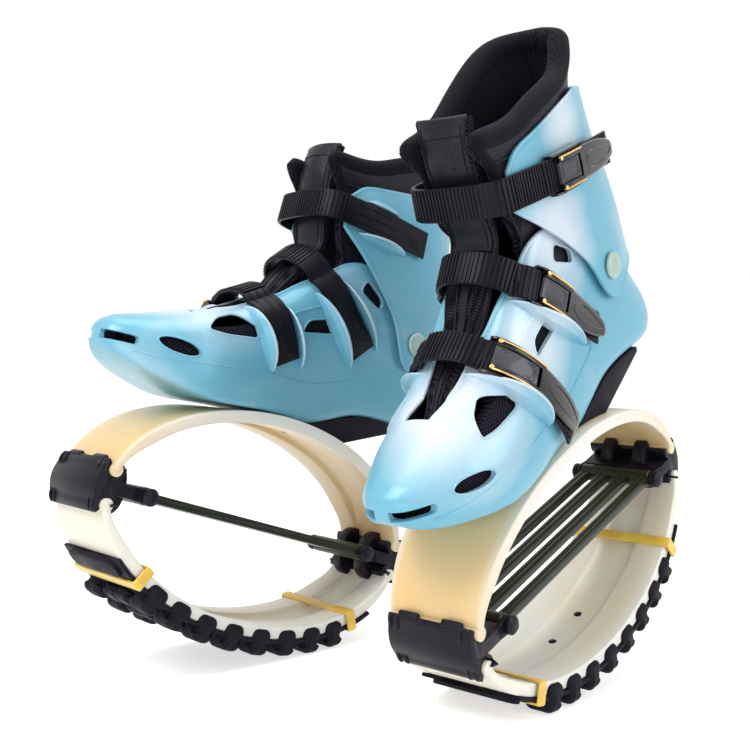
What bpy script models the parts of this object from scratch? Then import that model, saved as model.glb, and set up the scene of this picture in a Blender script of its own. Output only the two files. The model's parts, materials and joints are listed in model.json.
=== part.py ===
"""A pair of rebound boots: hard shells on sprung oval bows, posed in mid stride.

Each shoe is modelled in its own frame, with X towards the toe, Y outboard and Z up, and its
origin half-way between the two bow joints. The right shoe is the mirror image of the left one.
Units are metres.
"""
import math

import bmesh
import bpy
from mathutils import Euler, Matrix, Vector

# Where the shoes stand in the pair's frame: X is the stride direction and Y is the wearer's left.
STRIDE = 0.124
STANCE = 0.232
LEFT_PITCH = math.radians(21.0)
RIGHT_PITCH = math.radians(-17.0)
LEFT_YAW = math.radians(3.6)
RIGHT_YAW = math.radians(-3.6)

# The two bows, each half of an oval.
BOW_HALF_LENGTH = 0.154
UPPER_BOW_HEIGHT = 0.090
LOWER_BOW_HEIGHT = 0.086
BOW_THICKNESS = 0.006
BOW_RIM_HEIGHT = 0.004
BOW_CHANNEL_SHARE = 0.36
BOW_CHANNEL_SLOPE = 0.003
UPPER_BOW_WIDTH = 0.094
LOWER_BOW_WIDTH = 0.094
BOW_END_WIDTH = 0.076
BEAD_RADIUS = 0.0052
BEAD_HEIGHT = 0.0135
BOW_STEPS = 24
BEAD_SIDES = 10

# The tread glued round the lower bow.
TREAD_WIDTH = 0.098
TREAD_BASE = 0.003
LUG_HEIGHT = 0.0115
LUG_COUNT = 8
LUG_FIELD_ANGLE = math.radians(84.0)
TREAD_TAB_ANGLE = math.radians(48.5)
TREAD_END_ANGLE = math.radians(57.0)
TREAD_TAB_HEIGHT = 0.003
TREAD_TAB_FALL_ANGLE = math.radians(0.8)
LUG_GROOVE_SHARE = 0.06
CENTRE_LUG_SHARE = 0.62
LUG_SIDE_SHARE = 0.80
LUG_EDGE_SHARES = (1.0, 0.97, 0.54, 0.46)
LUG_PROFILE_SHARES = (0.0, 0.95, 0.95, 0.0)

# The bands strapped over the bow and the tread's base, beside the lugs.
BAND_THICKNESS = 0.002
BAND_MIDDLE_ANGLE = math.radians(45.6)
BAND_SPREAD_ANGLE = math.radians(2.1)

# The joints that clasp the bow ends and hold the tension springs.
JOINT_WIDTH = 0.072
CLAW_WALL = 0.0042
CLAW_LIP_ANGLE = math.radians(48.0)
CLAW_TURN_ANGLE = math.radians(198.0)
STEM_HALF_THICKNESS = 0.0052
FLUKE_START = 0.018
FLUKE_TIP = 0.024
FLUKE_DEPTH = 0.0145
PIN_SETBACK = 0.036
PIN_RADIUS = 0.0026
PIN_KNOB_RADIUS = 0.0070
PIN_KNOB_LENGTH = 0.0050
EAR_RADIUS = 0.0068
EAR_WIDTH = 0.0035
STRAND_COUNT = 4
STRAND_PITCH = 0.0185
STRAND_RADIUS = 0.0042
BARREL_RADIUS = 0.0072

# The boot shell.
HEEL_X = -0.181
TOE_X = 0.181
SHELL_HALF_WIDTH = 0.051
SHELL_HEIGHT = 0.150
SHELL_WALL = 0.0035
SOLE_CORNER = 0.007
WIDEST_HEIGHT = 0.026
HEEL_LEAN = 0.018

# The upper boot stands towards the wearer's other foot, more so above the instep.
CROWN_SHIFT = 0.009
CROWN_START_SHARE = 0.164
CROWN_RISE_SHARE = 0.467
TOE_CROWN_SHARE = 0.6

# The cuff and its rivets.
ANKLE_X = -0.102
ANKLE_SHARE = 0.6707
CUFF_WALL = 0.0032
CUFF_HALF_WIDTH = 0.0425
CUFF_HEIGHT = 0.162
CUFF_FRONT_X = 0.006
CUFF_HEEL_X = -0.174
RIVET_RADIUS = 0.0105
RIVET_HEAD = 0.0035
RIVET_SHANK_SHARE = 0.45

# The inner boot.
LINER_GAP = 0.0012
LINER_WALL = 0.0075
LINER_DROP = 0.014
COLLAR_HALF_WIDTH = 0.0350
COLLAR_RISE = 0.053
TONGUE_THICKNESS = 0.005
TONGUE_HALF_WIDTH = 0.0235

# The straps and their ratchet buckles.
STRAP_WIDTH = 0.025
STRAP_THICKNESS = 0.0026
STRAP_STEPS = 11
PATH_STEPS = 60
HEADING_SHARE = 0.02
BASE_FLOOR = 0.0016
BASE_WALL = 0.0018
BASE_HEIGHT = 0.0085
BASE_LENGTH = 0.050
BASE_FALL_SHARE = 0.45
BASE_STEPS = 5
LEVER_LENGTH = 0.084
LEVER_THICKNESS = 0.0032
LEVER_ARM_WIDTH = 0.0040
TAB_LENGTH = 0.026
HINGE_INSET = 0.007
HINGE_RADIUS = 0.0016
HINGE_EDGE_SHARE = 0.8
RAMP_START_SHARE = 1.4
RAMP_END_SHARE = 0.4
LEVER_STEPS = 7
ARM_STEPS = 4
TAB_STEPS = 5
LEVER_HEIGHT_SHARES = ((0.32, 1.30), (1.0, 0.80))
LEVER_CROWN_SHARE = 0.3
LEVER_FLAT_SHARE = 0.7
ARM_HEIGHT_SHARE = 1.15
TAB_HEIGHT_SHARES = ((0.0, 0.72), (1.0, 1.22))

# The shell's vent, its throat and its cross section.
VENT_LENGTH_SHARE = 0.8619
VENT_SHARE = 0.1607
VENT_HALF_LENGTH_SHARE = 0.047
VENT_HALF_HEIGHT_SHARE = 0.040
VENT_SLOPE_ANGLE = math.radians(2.0)
TOE_SLOT_START_SHARE = 0.942
TOE_SLOT_SHARE = 0.1240
TOE_SLOT_HEIGHT_SHARE = 0.0440
TOE_SLOT_BRIDGE_SHARE = 0.118
THROAT_END_SHARE = 0.82
SHAPE_POWER = 3.0

# The cuff's height above the floor of the frame, its lean and its flare.
CUFF_LOW_SHARE = 0.5107
CUFF_LEAN = 0.036
CUFF_FLARE = -0.006
CUFF_ROWS = 4

# The inner boot's collar and where its parts end along the shell.
COLLAR_LEAN = 0.027
COLLAR_REACH = 0.041
SHAFT_END_SHARE = 0.48
LINER_TOE_SHARE = 0.90
LINER_END_SHARE = 0.96
BRIM_LIP_SHARE = 0.2
BRIM_DRAW_SHARE = 0.84
BRIM_DRAW_END_SHARE = 0.528
THROAT_DRAW_SHARE = 0.96
SHAFT_ROWS = 4
TONGUE_BULGE = 0.004

# The gap that the strap and its buckle keep from the boot.
SURFACE_GAP = 0.0020

# The wedge between the upper bow and the raised heel.
SPACER_HALF_WIDTH = 0.036
SPACER_FRONT_X = -0.006
SPACER_BACK_X = -0.122
SPACER_LEAVE_X = -0.060
SPACER_TIP = 0.004

# The play between moving pieces and the gap between touching ones.
CLEARANCE = 0.0004

# Worked out from the sizes above.
SHELL_LENGTH = TOE_X - HEEL_X
SOLE_Z = UPPER_BOW_HEIGHT + BOW_THICKNESS / 2.0 + CLEARANCE
PIN_X = BOW_HALF_LENGTH - PIN_SETBACK
HINGE_EDGE = HINGE_RADIUS * HINGE_EDGE_SHARE
VENT_X = HEEL_X + SHELL_LENGTH * VENT_LENGTH_SHARE
VENT_HALF_LENGTH = SHELL_LENGTH * VENT_HALF_LENGTH_SHARE
VENT_HALF_HEIGHT = SHELL_HEIGHT * VENT_HALF_HEIGHT_SHARE
TOE_SLOT_START = HEEL_X + SHELL_LENGTH * TOE_SLOT_START_SHARE
TOE_SLOT_BRIDGE = SHELL_HALF_WIDTH * TOE_SLOT_BRIDGE_SHARE
VENT_Z = SOLE_Z + SHELL_HEIGHT * VENT_SHARE
TOE_SLOT_Z = SOLE_Z + SHELL_HEIGHT * TOE_SLOT_SHARE
TOE_SLOT_HEIGHT = SHELL_HEIGHT * TOE_SLOT_HEIGHT_SHARE
CROWN_START_Z = SOLE_Z + SHELL_HEIGHT * CROWN_START_SHARE
CROWN_RISE = SHELL_HEIGHT * CROWN_RISE_SHARE
ANKLE_Z = SOLE_Z + SHELL_HEIGHT * ANKLE_SHARE
CUFF_LOW_Z = SOLE_Z + SHELL_HEIGHT * CUFF_LOW_SHARE
COLLAR_TOP = CUFF_LOW_Z + CUFF_HEIGHT + COLLAR_RISE
CUFF_LENGTH = CUFF_FRONT_X - CUFF_HEEL_X
BOW_END_ANGLE = math.asin((BEAD_HEIGHT + BEAD_RADIUS) / UPPER_BOW_HEIGHT)
BEAD_X = BOW_HALF_LENGTH * math.cos(math.asin(BEAD_HEIGHT / UPPER_BOW_HEIGHT))
WELD = BOW_THICKNESS * 0.002
SHARP_ANGLE = math.radians(40.0)

COLLECTION = bpy.data.collections.new("rebound_boots")
CUTTERS = bpy.data.collections.new("cutters")


def material(name, colour, roughness, metallic=0.0):
    made = bpy.data.materials.new(name)
    made.use_nodes = True
    shader = made.node_tree.nodes["Principled BSDF"]
    shader.inputs["Base Color"].default_value = (*colour, 1.0)
    shader.inputs["Roughness"].default_value = roughness
    shader.inputs["Metallic"].default_value = metallic
    return made


def smooth_step(value):
    value = min(max(value, 0.0), 1.0)
    return value * value * (3.0 - 2.0 * value)


def read_table(table, where):
    """Reads a smooth curve through a table of (place, value) pairs in rising order of place."""
    places = [row[0] for row in table]
    values = [row[1] for row in table]
    if where <= places[0]:
        return values[0]
    if where >= places[-1]:
        return values[-1]
    spot = max(k for k in range(len(places) - 1) if places[k] <= where)
    slopes = []
    for k in (spot, spot + 1):
        low = max(k - 1, 0)
        high = min(k + 1, len(places) - 1)
        slopes.append((values[high] - values[low]) / (places[high] - places[low]))
    span = places[spot + 1] - places[spot]
    t = (where - places[spot]) / span
    h00 = 2.0 * t ** 3 - 3.0 * t ** 2 + 1.0
    h10 = t ** 3 - 2.0 * t ** 2 + t
    h01 = -2.0 * t ** 3 + 3.0 * t ** 2
    h11 = t ** 3 - t ** 2
    return h00 * values[spot] + h10 * span * slopes[0] + h01 * values[spot + 1] + h11 * span * slopes[1]


def lean_in(x, y, z):
    """Moves a point of the boot inboard by what its height asks for."""
    toe = smooth_step((x - TOE_X / 2.0) / (TOE_X / 2.0))
    shift = CROWN_SHIFT * smooth_step((z - CROWN_START_Z) / CROWN_RISE)
    return Vector((x, y - shift * (1.0 - (1.0 - TOE_CROWN_SHARE) * toe), z))


def new_object(name, mesh, made, smooth=True):
    thing = bpy.data.objects.new(name, mesh)
    mesh.materials.append(made)
    if smooth:
        mesh.shade_smooth()
        mesh.set_sharp_from_angle(angle=SHARP_ANGLE)
    COLLECTION.objects.link(thing)
    return thing


def solid(name, points, faces, made):
    """Makes one closed body from points and faces, welded and facing out."""
    mesh = bpy.data.meshes.new(name)
    mesh.from_pydata([tuple(point) for point in points], [], faces)
    body = bmesh.new()
    body.from_mesh(mesh)
    bmesh.ops.remove_doubles(body, verts=body.verts, dist=WELD)
    bmesh.ops.dissolve_degenerate(body, edges=body.edges, dist=WELD)
    bmesh.ops.recalc_face_normals(body, faces=body.faces)
    body.to_mesh(mesh)
    body.free()
    return new_object(name, mesh, made)


def loft(name, rings, made):
    """Skins a row of closed rings with equal point counts and caps both ends."""
    points = [point for ring in rings for point in ring]
    count = len(rings[0])
    faces = []
    for row in range(len(rings) - 1):
        over = row + 1
        for k in range(count):
            step = (k + 1) % count
            faces.append((row * count + k, row * count + step, over * count + step, over * count + k))
    faces.append(tuple(range(count)))
    faces.append(tuple((len(rings) - 1) * count + k for k in range(count)))
    return solid(name, points, faces, made)


def sheet(name, outer, inner, made, ends_open=True):
    """Joins an outer and an inner grid along their long edges and, if asked, at both ends."""
    rows = len(outer)
    count = len(outer[0])
    points = [point for row in outer for point in row] + [point for row in inner for point in row]
    shift = rows * count
    faces = []
    for row in range(rows - 1):
        for k in range(count - 1):
            a = row * count + k
            faces.append((a, a + 1, a + count + 1, a + count))
            faces.append((shift + a, shift + a + count, shift + a + count + 1, shift + a + 1))
        first = row * count
        last = first + count - 1
        if all((points[first + n] - points[last + n]).length < WELD for n in (0, count)):
            continue
        for a in (first, last):
            faces.append((a, a + count, shift + a + count, shift + a))
    if ends_open:
        for row in (0, rows - 1):
            for k in range(count - 1):
                a = row * count + k
                faces.append((a, a + 1, shift + a + 1, shift + a))
    return solid(name, points, faces, made)


def ring_sweep(name, outer, inner, made):
    """Sweeps a closed loop with a hole: every row of outer and inner is a closed ring."""
    rows = len(outer)
    count = len(outer[0])
    points = [point for row in outer for point in row] + [point for row in inner for point in row]
    shift = rows * count
    faces = []
    for k in range(count):
        step = (k + 1) % count
        for row in range(rows - 1):
            a, b = row * count + k, row * count + step
            faces.append((a, b, b + count, a + count))
            faces.append((shift + a, shift + a + count, shift + b + count, shift + b))
        for row in (0, rows - 1):
            a, b = row * count + k, row * count + step
            faces.append((a, b, shift + b, shift + a))
    return solid(name, points, faces, made)


def prism(name, outline, low, high, made):
    """Extrudes a flat outline of (x, z) points along Y from low to high."""
    flat = bpy.data.curves.new(name, "CURVE")
    flat.dimensions = "2D"
    flat.fill_mode = "BOTH"
    flat.extrude = (high - low) / 2.0
    line = flat.splines.new("POLY")
    line.points.add(len(outline) - 1)
    for point, (x, z) in zip(line.points, outline):
        point.co = (x, z, 0.0, 1.0)
    line.use_cyclic_u = True
    guide = bpy.data.objects.new(name, flat)
    bpy.context.scene.collection.objects.link(guide)
    view = bpy.context.evaluated_depsgraph_get()
    mesh = bpy.data.meshes.new_from_object(guide.evaluated_get(view))
    bpy.data.objects.remove(guide)
    middle = Matrix.Translation((0.0, (low + high) / 2.0, 0.0))
    mesh.transform(middle @ Matrix.Rotation(math.pi / 2.0, 4, "X"))
    body = bmesh.new()
    body.from_mesh(mesh)
    bmesh.ops.remove_doubles(body, verts=body.verts, dist=WELD)
    bmesh.ops.recalc_face_normals(body, faces=body.faces)
    body.to_mesh(mesh)
    body.free()
    mesh.materials.clear()
    return new_object(name, mesh, made)


def cylinder(name, radius, low, high, made, sides=16):
    """A round bar along Y, from low to high."""
    mesh = bpy.data.meshes.new(name)
    body = bmesh.new()
    bmesh.ops.create_cone(body, cap_ends=True, segments=sides, radius1=radius, radius2=radius,
                          depth=high - low)
    bmesh.ops.rotate(body, verts=body.verts, matrix=Matrix.Rotation(math.pi / 2.0, 3, "X"))
    bmesh.ops.translate(body, verts=body.verts, vec=(0.0, (low + high) / 2.0, 0.0))
    bmesh.ops.recalc_face_normals(body, faces=body.faces)
    body.to_mesh(mesh)
    body.free()
    return new_object(name, mesh, made)


def join_by_boolean(target, tools, operation):
    """Adds one Boolean to target for each tool and hides the tools among the cutters."""
    for tool in tools:
        COLLECTION.objects.unlink(tool)
        CUTTERS.objects.link(tool)
        tool.display_type = "WIRE"
        tool.hide_render = True
        change = target.modifiers.new(tool.name, "BOOLEAN")
        change.operation = operation
        change.object = tool
    target["tools"] = [tool.name for tool in tools]
    return target


def arc_points(centre, radius, start, end, steps):
    """Points (x, z) on an arc, both ends included."""
    found = []
    for k in range(steps + 1):
        angle = start + (end - start) * k / steps
        found.append((centre[0] + radius * math.cos(angle), centre[1] + radius * math.sin(angle)))
    return found


# Bows and what wraps round them


def bow_angle(step):
    return BOW_END_ANGLE + (math.pi - 2.0 * BOW_END_ANGLE) * step / BOW_STEPS


def bow_point(angle, offset, y, height, sign):
    """A point at offset outside the middle line of a bow, at angle round from the toe end."""
    normal = Vector((math.cos(angle) / BOW_HALF_LENGTH, math.sin(angle) / height)).normalized()
    x = BOW_HALF_LENGTH * math.cos(angle) + normal.x * offset
    z = height * math.sin(angle) + normal.y * offset
    return Vector((x, y, sign * z))


def bow_half_width(angle, middle_width):
    return (BOW_END_WIDTH + (middle_width - BOW_END_WIDTH) * math.sin(angle) ** 1.5) / 2.0


def bow_rim(angle):
    """How deep the bow's edge rims stand inside its sheet, fading out towards the beads."""
    return BOW_RIM_HEIGHT * smooth_step((math.sin(angle) - math.sin(BOW_END_ANGLE)) * 4.0)


def bow_section(angle, height, width, sign):
    half = bow_half_width(angle, width)
    rim = bow_rim(angle)
    outer = BOW_THICKNESS / 2.0
    inner = -BOW_THICKNESS / 2.0
    channel = half * BOW_CHANNEL_SHARE
    shape = [(half, outer), (half, inner - rim), (channel + BOW_CHANNEL_SLOPE, inner - rim), (channel, inner)]
    ring = [bow_point(angle, offset, y, height, sign) for y, offset in shape]
    ring += [bow_point(angle, offset, -y, height, sign) for y, offset in reversed(shape)]
    return ring


def bead_rings(side_x, sign, half):
    """The round bead on a bow's end, as two rings across the bow."""
    centre = (side_x * BEAD_X, sign * BEAD_HEIGHT)
    rings = []
    for y in (-half, half):
        arc = arc_points(centre, BEAD_RADIUS, 0.0, 2.0 * math.pi, BEAD_SIDES)[:-1]
        rings.append([Vector((x, y, z)) for x, z in arc])
    return rings


def make_bow(name, height, width, sign, made):
    rings = [bow_section(bow_angle(step), height, width, sign) for step in range(BOW_STEPS + 1)]
    for side_x, end in ((1.0, 0), (-1.0, BOW_STEPS)):
        middle = bow_point(bow_angle(end), 0.0, 0.0, height, sign)
        to_bead = Vector((side_x * BEAD_X, 0.0, sign * BEAD_HEIGHT)) - middle
        tail = [point + to_bead for point in bow_section(bow_angle(end), height, width, sign)]
        rings.insert(0 if end == 0 else len(rings), tail)
    bow = loft(name, rings, made)
    tools = []
    for side_x, tag in ((1.0, "toe"), (-1.0, "heel")):
        bead = loft(f"{name}_{tag}_bead", bead_rings(side_x, sign, BOW_END_WIDTH / 2.0), made)
        tools.append(bead)
    join_by_boolean(bow, tools, "UNION")
    return bow


def make_tread(name, made):
    """A glued rubber tread: a thin base with rows of side and centre lugs and a thicker tab at each end."""
    stations = []
    pitch = LUG_FIELD_ANGLE / LUG_COUNT
    for lug in range(LUG_COUNT):
        start = -LUG_FIELD_ANGLE / 2.0 + lug * pitch
        solid_share = 1.0 - 2.0 * LUG_GROOVE_SHARE
        last = len(LUG_PROFILE_SHARES) - 1.0
        for k, share in enumerate(LUG_PROFILE_SHARES):
            stations.append((start + pitch * (LUG_GROOVE_SHARE + solid_share * k / last), share, 0.0))
    tail = [(TREAD_TAB_ANGLE - TREAD_TAB_FALL_ANGLE, 0.0, 0.0), (TREAD_TAB_ANGLE, 0.0, 1.0)]
    tail += [(TREAD_END_ANGLE - TREAD_TAB_FALL_ANGLE, 0.0, 1.0), (TREAD_END_ANGLE, 0.0, 0.0)]
    stations = [(-turn, lobe, tab) for turn, lobe, tab in reversed(tail)] + stations + tail
    inner_offset = BOW_THICKNESS / 2.0 + CLEARANCE
    half = TREAD_WIDTH / 2.0
    columns = [(-share * half, share) for share in LUG_EDGE_SHARES]
    columns += [(share * half, share) for share in reversed(LUG_EDGE_SHARES)]
    outer = []
    inner = []
    for turn, lobe, tab in stations:
        angle = math.pi / 2.0 + turn
        taper = bow_half_width(angle, LOWER_BOW_WIDTH) / (LOWER_BOW_WIDTH / 2.0)
        outer_row = []
        inner_row = []
        for place, share in columns:
            height = lobe * LUG_HEIGHT * (CENTRE_LUG_SHARE if share < 0.5 else 1.0)
            if share == 1.0:
                height *= LUG_SIDE_SHARE
            offset = inner_offset + TREAD_BASE + height + tab * TREAD_TAB_HEIGHT
            outer_row.append(bow_point(angle, offset, place * taper, LOWER_BOW_HEIGHT, -1.0))
            inner_row.append(bow_point(angle, inner_offset, place * taper, LOWER_BOW_HEIGHT, -1.0))
        outer.append(outer_row)
        inner.append(inner_row)
    return sheet(name, outer, inner, made)


def make_band(name, angle, made):
    """A flat band strapped round the lower bow and the tread's base."""
    rows = []
    holes = []
    for turn in (-BAND_SPREAD_ANGLE, BAND_SPREAD_ANGLE):
        here = angle + turn
        spread = TREAD_WIDTH / LOWER_BOW_WIDTH
        half = bow_half_width(here, LOWER_BOW_WIDTH) * spread + CLEARANCE
        low = -BOW_THICKNESS / 2.0 - BOW_RIM_HEIGHT - CLEARANCE
        high = BOW_THICKNESS / 2.0 + TREAD_BASE + 2.0 * CLEARANCE
        corners = [(half, low), (half, high), (-half, high), (-half, low)]
        holes.append([bow_point(here, offset, y, LOWER_BOW_HEIGHT, -1.0) for y, offset in corners])
        wide = half + BAND_THICKNESS
        corners = [(wide, low - BAND_THICKNESS), (wide, high + BAND_THICKNESS)]
        corners += [(-wide, high + BAND_THICKNESS), (-wide, low - BAND_THICKNESS)]
        rows.append([bow_point(here, offset, y, LOWER_BOW_HEIGHT, -1.0) for y, offset in corners])
    return ring_sweep(name, rows, holes, made)


# Joints, pins and springs
def half_joint_outline(height):
    """Half of a joint's side view at the toe end, from its nose to the pin ear, for one bow."""
    centre = (BEAD_X, BEAD_HEIGHT)
    socket = BEAD_RADIUS + CLEARANCE
    outside = socket + CLAW_WALL
    points = [(BEAD_X + outside, 0.0)]
    points += arc_points(centre, outside, 0.0, CLAW_LIP_ANGLE, 2)
    points += arc_points(centre, socket, CLAW_LIP_ANGLE, -CLAW_TURN_ANGLE, 7)
    for reach in (FLUKE_START, (FLUKE_START + FLUKE_TIP) / 2.0, FLUKE_TIP):
        angle = math.asin(reach / height)
        offset = -BOW_THICKNESS / 2.0 - bow_rim(angle) - 1.5 * CLEARANCE
        place = bow_point(angle, offset, 0.0, height, 1.0)
        points.append((place.x, place.z))
    tip_x, tip_z = points[-1]
    for k in range(1, 4):
        turn = math.pi / 2.0 * k / 3.0
        x = tip_x - FLUKE_DEPTH * math.sin(turn)
        z = tip_z - (tip_z - STEM_HALF_THICKNESS) * (1.0 - math.cos(turn))
        points.append((x, z))
    points.append((PIN_X + BARREL_RADIUS + CLEARANCE, STEM_HALF_THICKNESS))
    return points


def make_joint(name, made):
    """A joint at the toe end: claws round both beads, flukes inside the bows and ears on the pin."""
    lower = half_joint_outline(LOWER_BOW_HEIGHT)
    outline = half_joint_outline(UPPER_BOW_HEIGHT) + [(x, -z) for x, z in reversed(lower[1:])]
    half = JOINT_WIDTH / 2.0
    block = prism(name, outline, -half, half, made)
    ears = []
    for sign, tag in ((1.0, "outer"), (-1.0, "inner")):
        near = sign * (half - EAR_WIDTH)
        far = sign * half
        shape = [(PIN_X + EAR_RADIUS * 2.2, EAR_RADIUS * 0.75)]
        shape += arc_points((PIN_X, 0.0), EAR_RADIUS, math.pi / 2.0, 1.5 * math.pi, 5)
        shape.append((PIN_X + EAR_RADIUS * 2.2, -EAR_RADIUS * 0.75))
        ear = prism(f"{name}_{tag}_ear", shape, min(near, far), max(near, far), made)
        ears.append(ear)
    join_by_boolean(block, ears, "UNION")
    bore = cylinder(f"{name}_bore", PIN_RADIUS + CLEARANCE, -half * 1.2, half * 1.2, made, 10)
    bore.data.transform(Matrix.Translation((PIN_X, 0.0, 0.0)))
    tools = list(block["tools"])
    join_by_boolean(block, [bore], "DIFFERENCE")
    block["tools"] = tools + [bore.name]
    return block


def make_pin(name, made):
    """The toe end's cross pin: a turned profile with a knob at each end."""
    half = JOINT_WIDTH / 2.0 + CLEARANCE
    profile = [(0.0, -half - PIN_KNOB_LENGTH), (PIN_KNOB_RADIUS * 0.7, -half - PIN_KNOB_LENGTH)]
    profile += [(PIN_KNOB_RADIUS, -half - PIN_KNOB_LENGTH * 0.6)]
    profile += [(PIN_KNOB_RADIUS, -half), (PIN_RADIUS, -half)]
    profile += [(PIN_RADIUS, half), (PIN_KNOB_RADIUS, half), (PIN_KNOB_RADIUS, half + PIN_KNOB_LENGTH * 0.6)]
    profile += [(PIN_KNOB_RADIUS * 0.7, half + PIN_KNOB_LENGTH), (0.0, half + PIN_KNOB_LENGTH)]
    sides = 8
    rings = []
    for radius, y in profile[1:-1]:
        ring = []
        for k in range(sides):
            angle = 2.0 * math.pi * k / sides
            ring.append(Vector((PIN_X + radius * math.cos(angle), y, radius * math.sin(angle))))
        rings.append(ring)
    return loft(name, rings, made)


def make_spring(name, made):
    """Four elastic strands moulded in one piece with a barrel at each end."""
    half = JOINT_WIDTH / 2.0 - EAR_WIDTH - CLEARANCE
    barrel = cylinder(name, BARREL_RADIUS, -half, half, made, 14)
    barrel.data.transform(Matrix.Translation((PIN_X, 0.0, 0.0)))
    tools = []
    second = cylinder(f"{name}_heel_barrel", BARREL_RADIUS, -half, half, made, 14)
    second.data.transform(Matrix.Translation((-PIN_X, 0.0, 0.0)))
    for k in range(STRAND_COUNT):
        y = (k - (STRAND_COUNT - 1) / 2.0) * STRAND_PITCH
        strand = cylinder(f"{name}_strand_{k + 1}", STRAND_RADIUS, -PIN_X, PIN_X, made, 6)
        strand.data.transform(Matrix.Translation((0.0, y, 0.0)) @ Matrix.Rotation(math.pi / 2.0, 4, "Z"))
        tools.append(strand)
    tools.append(second)
    join_by_boolean(barrel, tools, "UNION")
    bores = []
    for side_x, tag in ((1.0, "toe"), (-1.0, "heel")):
        bore = cylinder(f"{name}_{tag}_bore", PIN_RADIUS + CLEARANCE, -half * 1.2, half * 1.2, made, 10)
        bore.data.transform(Matrix.Translation((side_x * PIN_X, 0.0, 0.0)))
        bores.append(bore)
    names = list(barrel["tools"])
    join_by_boolean(barrel, bores, "DIFFERENCE")
    barrel["tools"] = names + [bore.name for bore in bores]
    return barrel


# The boot's form: tables of shares along the shell, heel 0 and toe 1

WIDTH_SHARES = ((0.0, 0.90), (0.05, 0.90), (0.13, 0.86), (0.22, 0.80), (0.33, 0.77), (0.41, 0.785),
                (0.50, 0.83), (0.58, 0.905), (0.66, 0.99), (0.75, 1.045), (0.82, 1.03), (0.90, 0.95),
                (0.96, 0.86), (1.0, 0.80))
SOLE_SHARES = ((0.0, 0.25), (0.012, 0.21), (0.03, 0.185), (0.06, 0.172), (0.10, 0.17), (0.235, 0.17),
               (0.32, 0.14), (0.405, 0.057), (0.455, 0.012), (0.50, 0.0), (0.55, 0.0), (0.605, -0.01),
               (0.66, -0.027), (0.725, -0.047), (0.775, -0.05), (0.855, -0.028), (0.93, 0.004),
               (0.967, 0.035), (0.985, 0.062), (0.995, 0.085), (1.0, 0.105))
TOP_SHARES = ((0.0, 0.81), (0.11, 0.85), (0.22, 0.905), (0.33, 0.97), (0.415, 1.0), (0.47, 0.96),
              (0.51, 0.873), (0.58, 0.74), (0.62, 0.653), (0.66, 0.587), (0.728, 0.48), (0.789, 0.424),
              (0.82, 0.40), (0.885, 0.33), (0.943, 0.273), (0.967, 0.25), (0.983, 0.226), (0.995, 0.20),
              (1.0, 0.175))
THROAT_SHARES = ((0.0, 0.94), (0.33, 0.935), (0.415, 0.90), (0.47, 0.78), (0.51, 0.68), (0.58, 0.52),
                 (0.66, 0.38), (0.728, 0.295), (0.789, 0.22), (0.808, 0.14), (0.82, 0.0), (1.0, 0.0))
HEEL_LEAN_SHARES = ((0.0, 0.80), (0.10, 0.28), (0.22, 0.04), (0.30, 0.0), (0.40, 0.16), (0.52, 0.60),
                    (0.62, 0.84), (1.0, 1.0))


def boot_place(length_share, height_share):
    """A place (x, z) on the boot's side view, from the heel and the sole."""
    return HEEL_X + SHELL_LENGTH * length_share, SOLE_Z + SHELL_HEIGHT * height_share


def shell_share(x):
    return (x - HEEL_X) / SHELL_LENGTH


def plan_half_width(share):
    """Half the shell's greatest width at a share of its length, rounded at both ends."""
    place = 2.0 * share - 1.0
    rounded = max(0.0, 1.0 - abs(place) ** SHAPE_POWER) ** (1.0 / SHAPE_POWER)
    return SHELL_HALF_WIDTH * rounded * read_table(WIDTH_SHARES, share)


def sole_z(share):
    return SOLE_Z + SHELL_HEIGHT * read_table(SOLE_SHARES, share)


def top_z(share):
    return SOLE_Z + SHELL_HEIGHT * read_table(TOP_SHARES, share)


def side_y(share, z):
    """The shell's half width at a share of its length and a height."""
    widest = plan_half_width(share)
    low = sole_z(share)
    high = top_z(share)
    middle = low + min(WIDEST_HEIGHT, (high - low) * 0.45)
    if z < middle:
        drop = (middle - z) / (middle - low)
        corner = min(SOLE_CORNER, widest * 0.5)
        return widest - corner + corner * max(0.0, 1.0 - drop ** 2.4) ** (1.0 / 2.4)
    edge = widest * read_table(THROAT_SHARES, share)
    rise = min((z - middle) / (high - middle), 1.0)
    power = 0.5 + 0.5 * smooth_step((0.50 - share) / 0.12)
    return edge + (widest - edge) * max(0.0, 1.0 - rise ** 2.2) ** power


def heel_shift(share, z):
    """How far the heel's outline stands in from its furthest point at a height."""
    lean = read_table(HEEL_LEAN_SHARES, (z - SOLE_Z) / SHELL_HEIGHT)
    return HEEL_LEAN * lean * smooth_step((0.40 - share) / 0.40)


BOOT_ROW_SHARES = (0.0, 0.04, 0.14, 0.32, 0.54, 0.78, 1.0)
BOOT_STATION_SHARES = (0.0, 0.008, 0.028, 0.06, 0.10, 0.16, 0.24, 0.33, 0.42, 0.48, 0.487, 0.53, 0.58, 0.635,
                       0.70, 0.75, 0.79, 0.82, 0.86, 0.90, 0.94, 0.97, 0.99, 1.0)


def section_point(share, z, skin):
    """A point (x, half width, z) at a depth of skin inside the shell's outer form."""
    inset_share = 0.5 + (share - 0.5) * (1.0 - 2.0 * skin / SHELL_LENGTH)
    reach = side_y(share, min(max(z, sole_z(share)), top_z(share)))
    y = max(reach - skin * min(1.0, reach / SHELL_HALF_WIDTH * 3.0), 0.0)
    x = HEEL_X + SHELL_LENGTH * inset_share + heel_shift(share, min(z, SOLE_Z + SHELL_HEIGHT))
    return x, y, z


def closed_row(half):
    """A row from one top edge round the sole to the other, from one half's points sole to top."""
    right = [lean_in(x, y, z) for x, y, z in reversed(half)]
    middle = [lean_in(half[0][0], 0.0, half[0][2])]
    left = [lean_in(x, -y, z) for x, y, z in half]
    return right + middle + left


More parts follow.
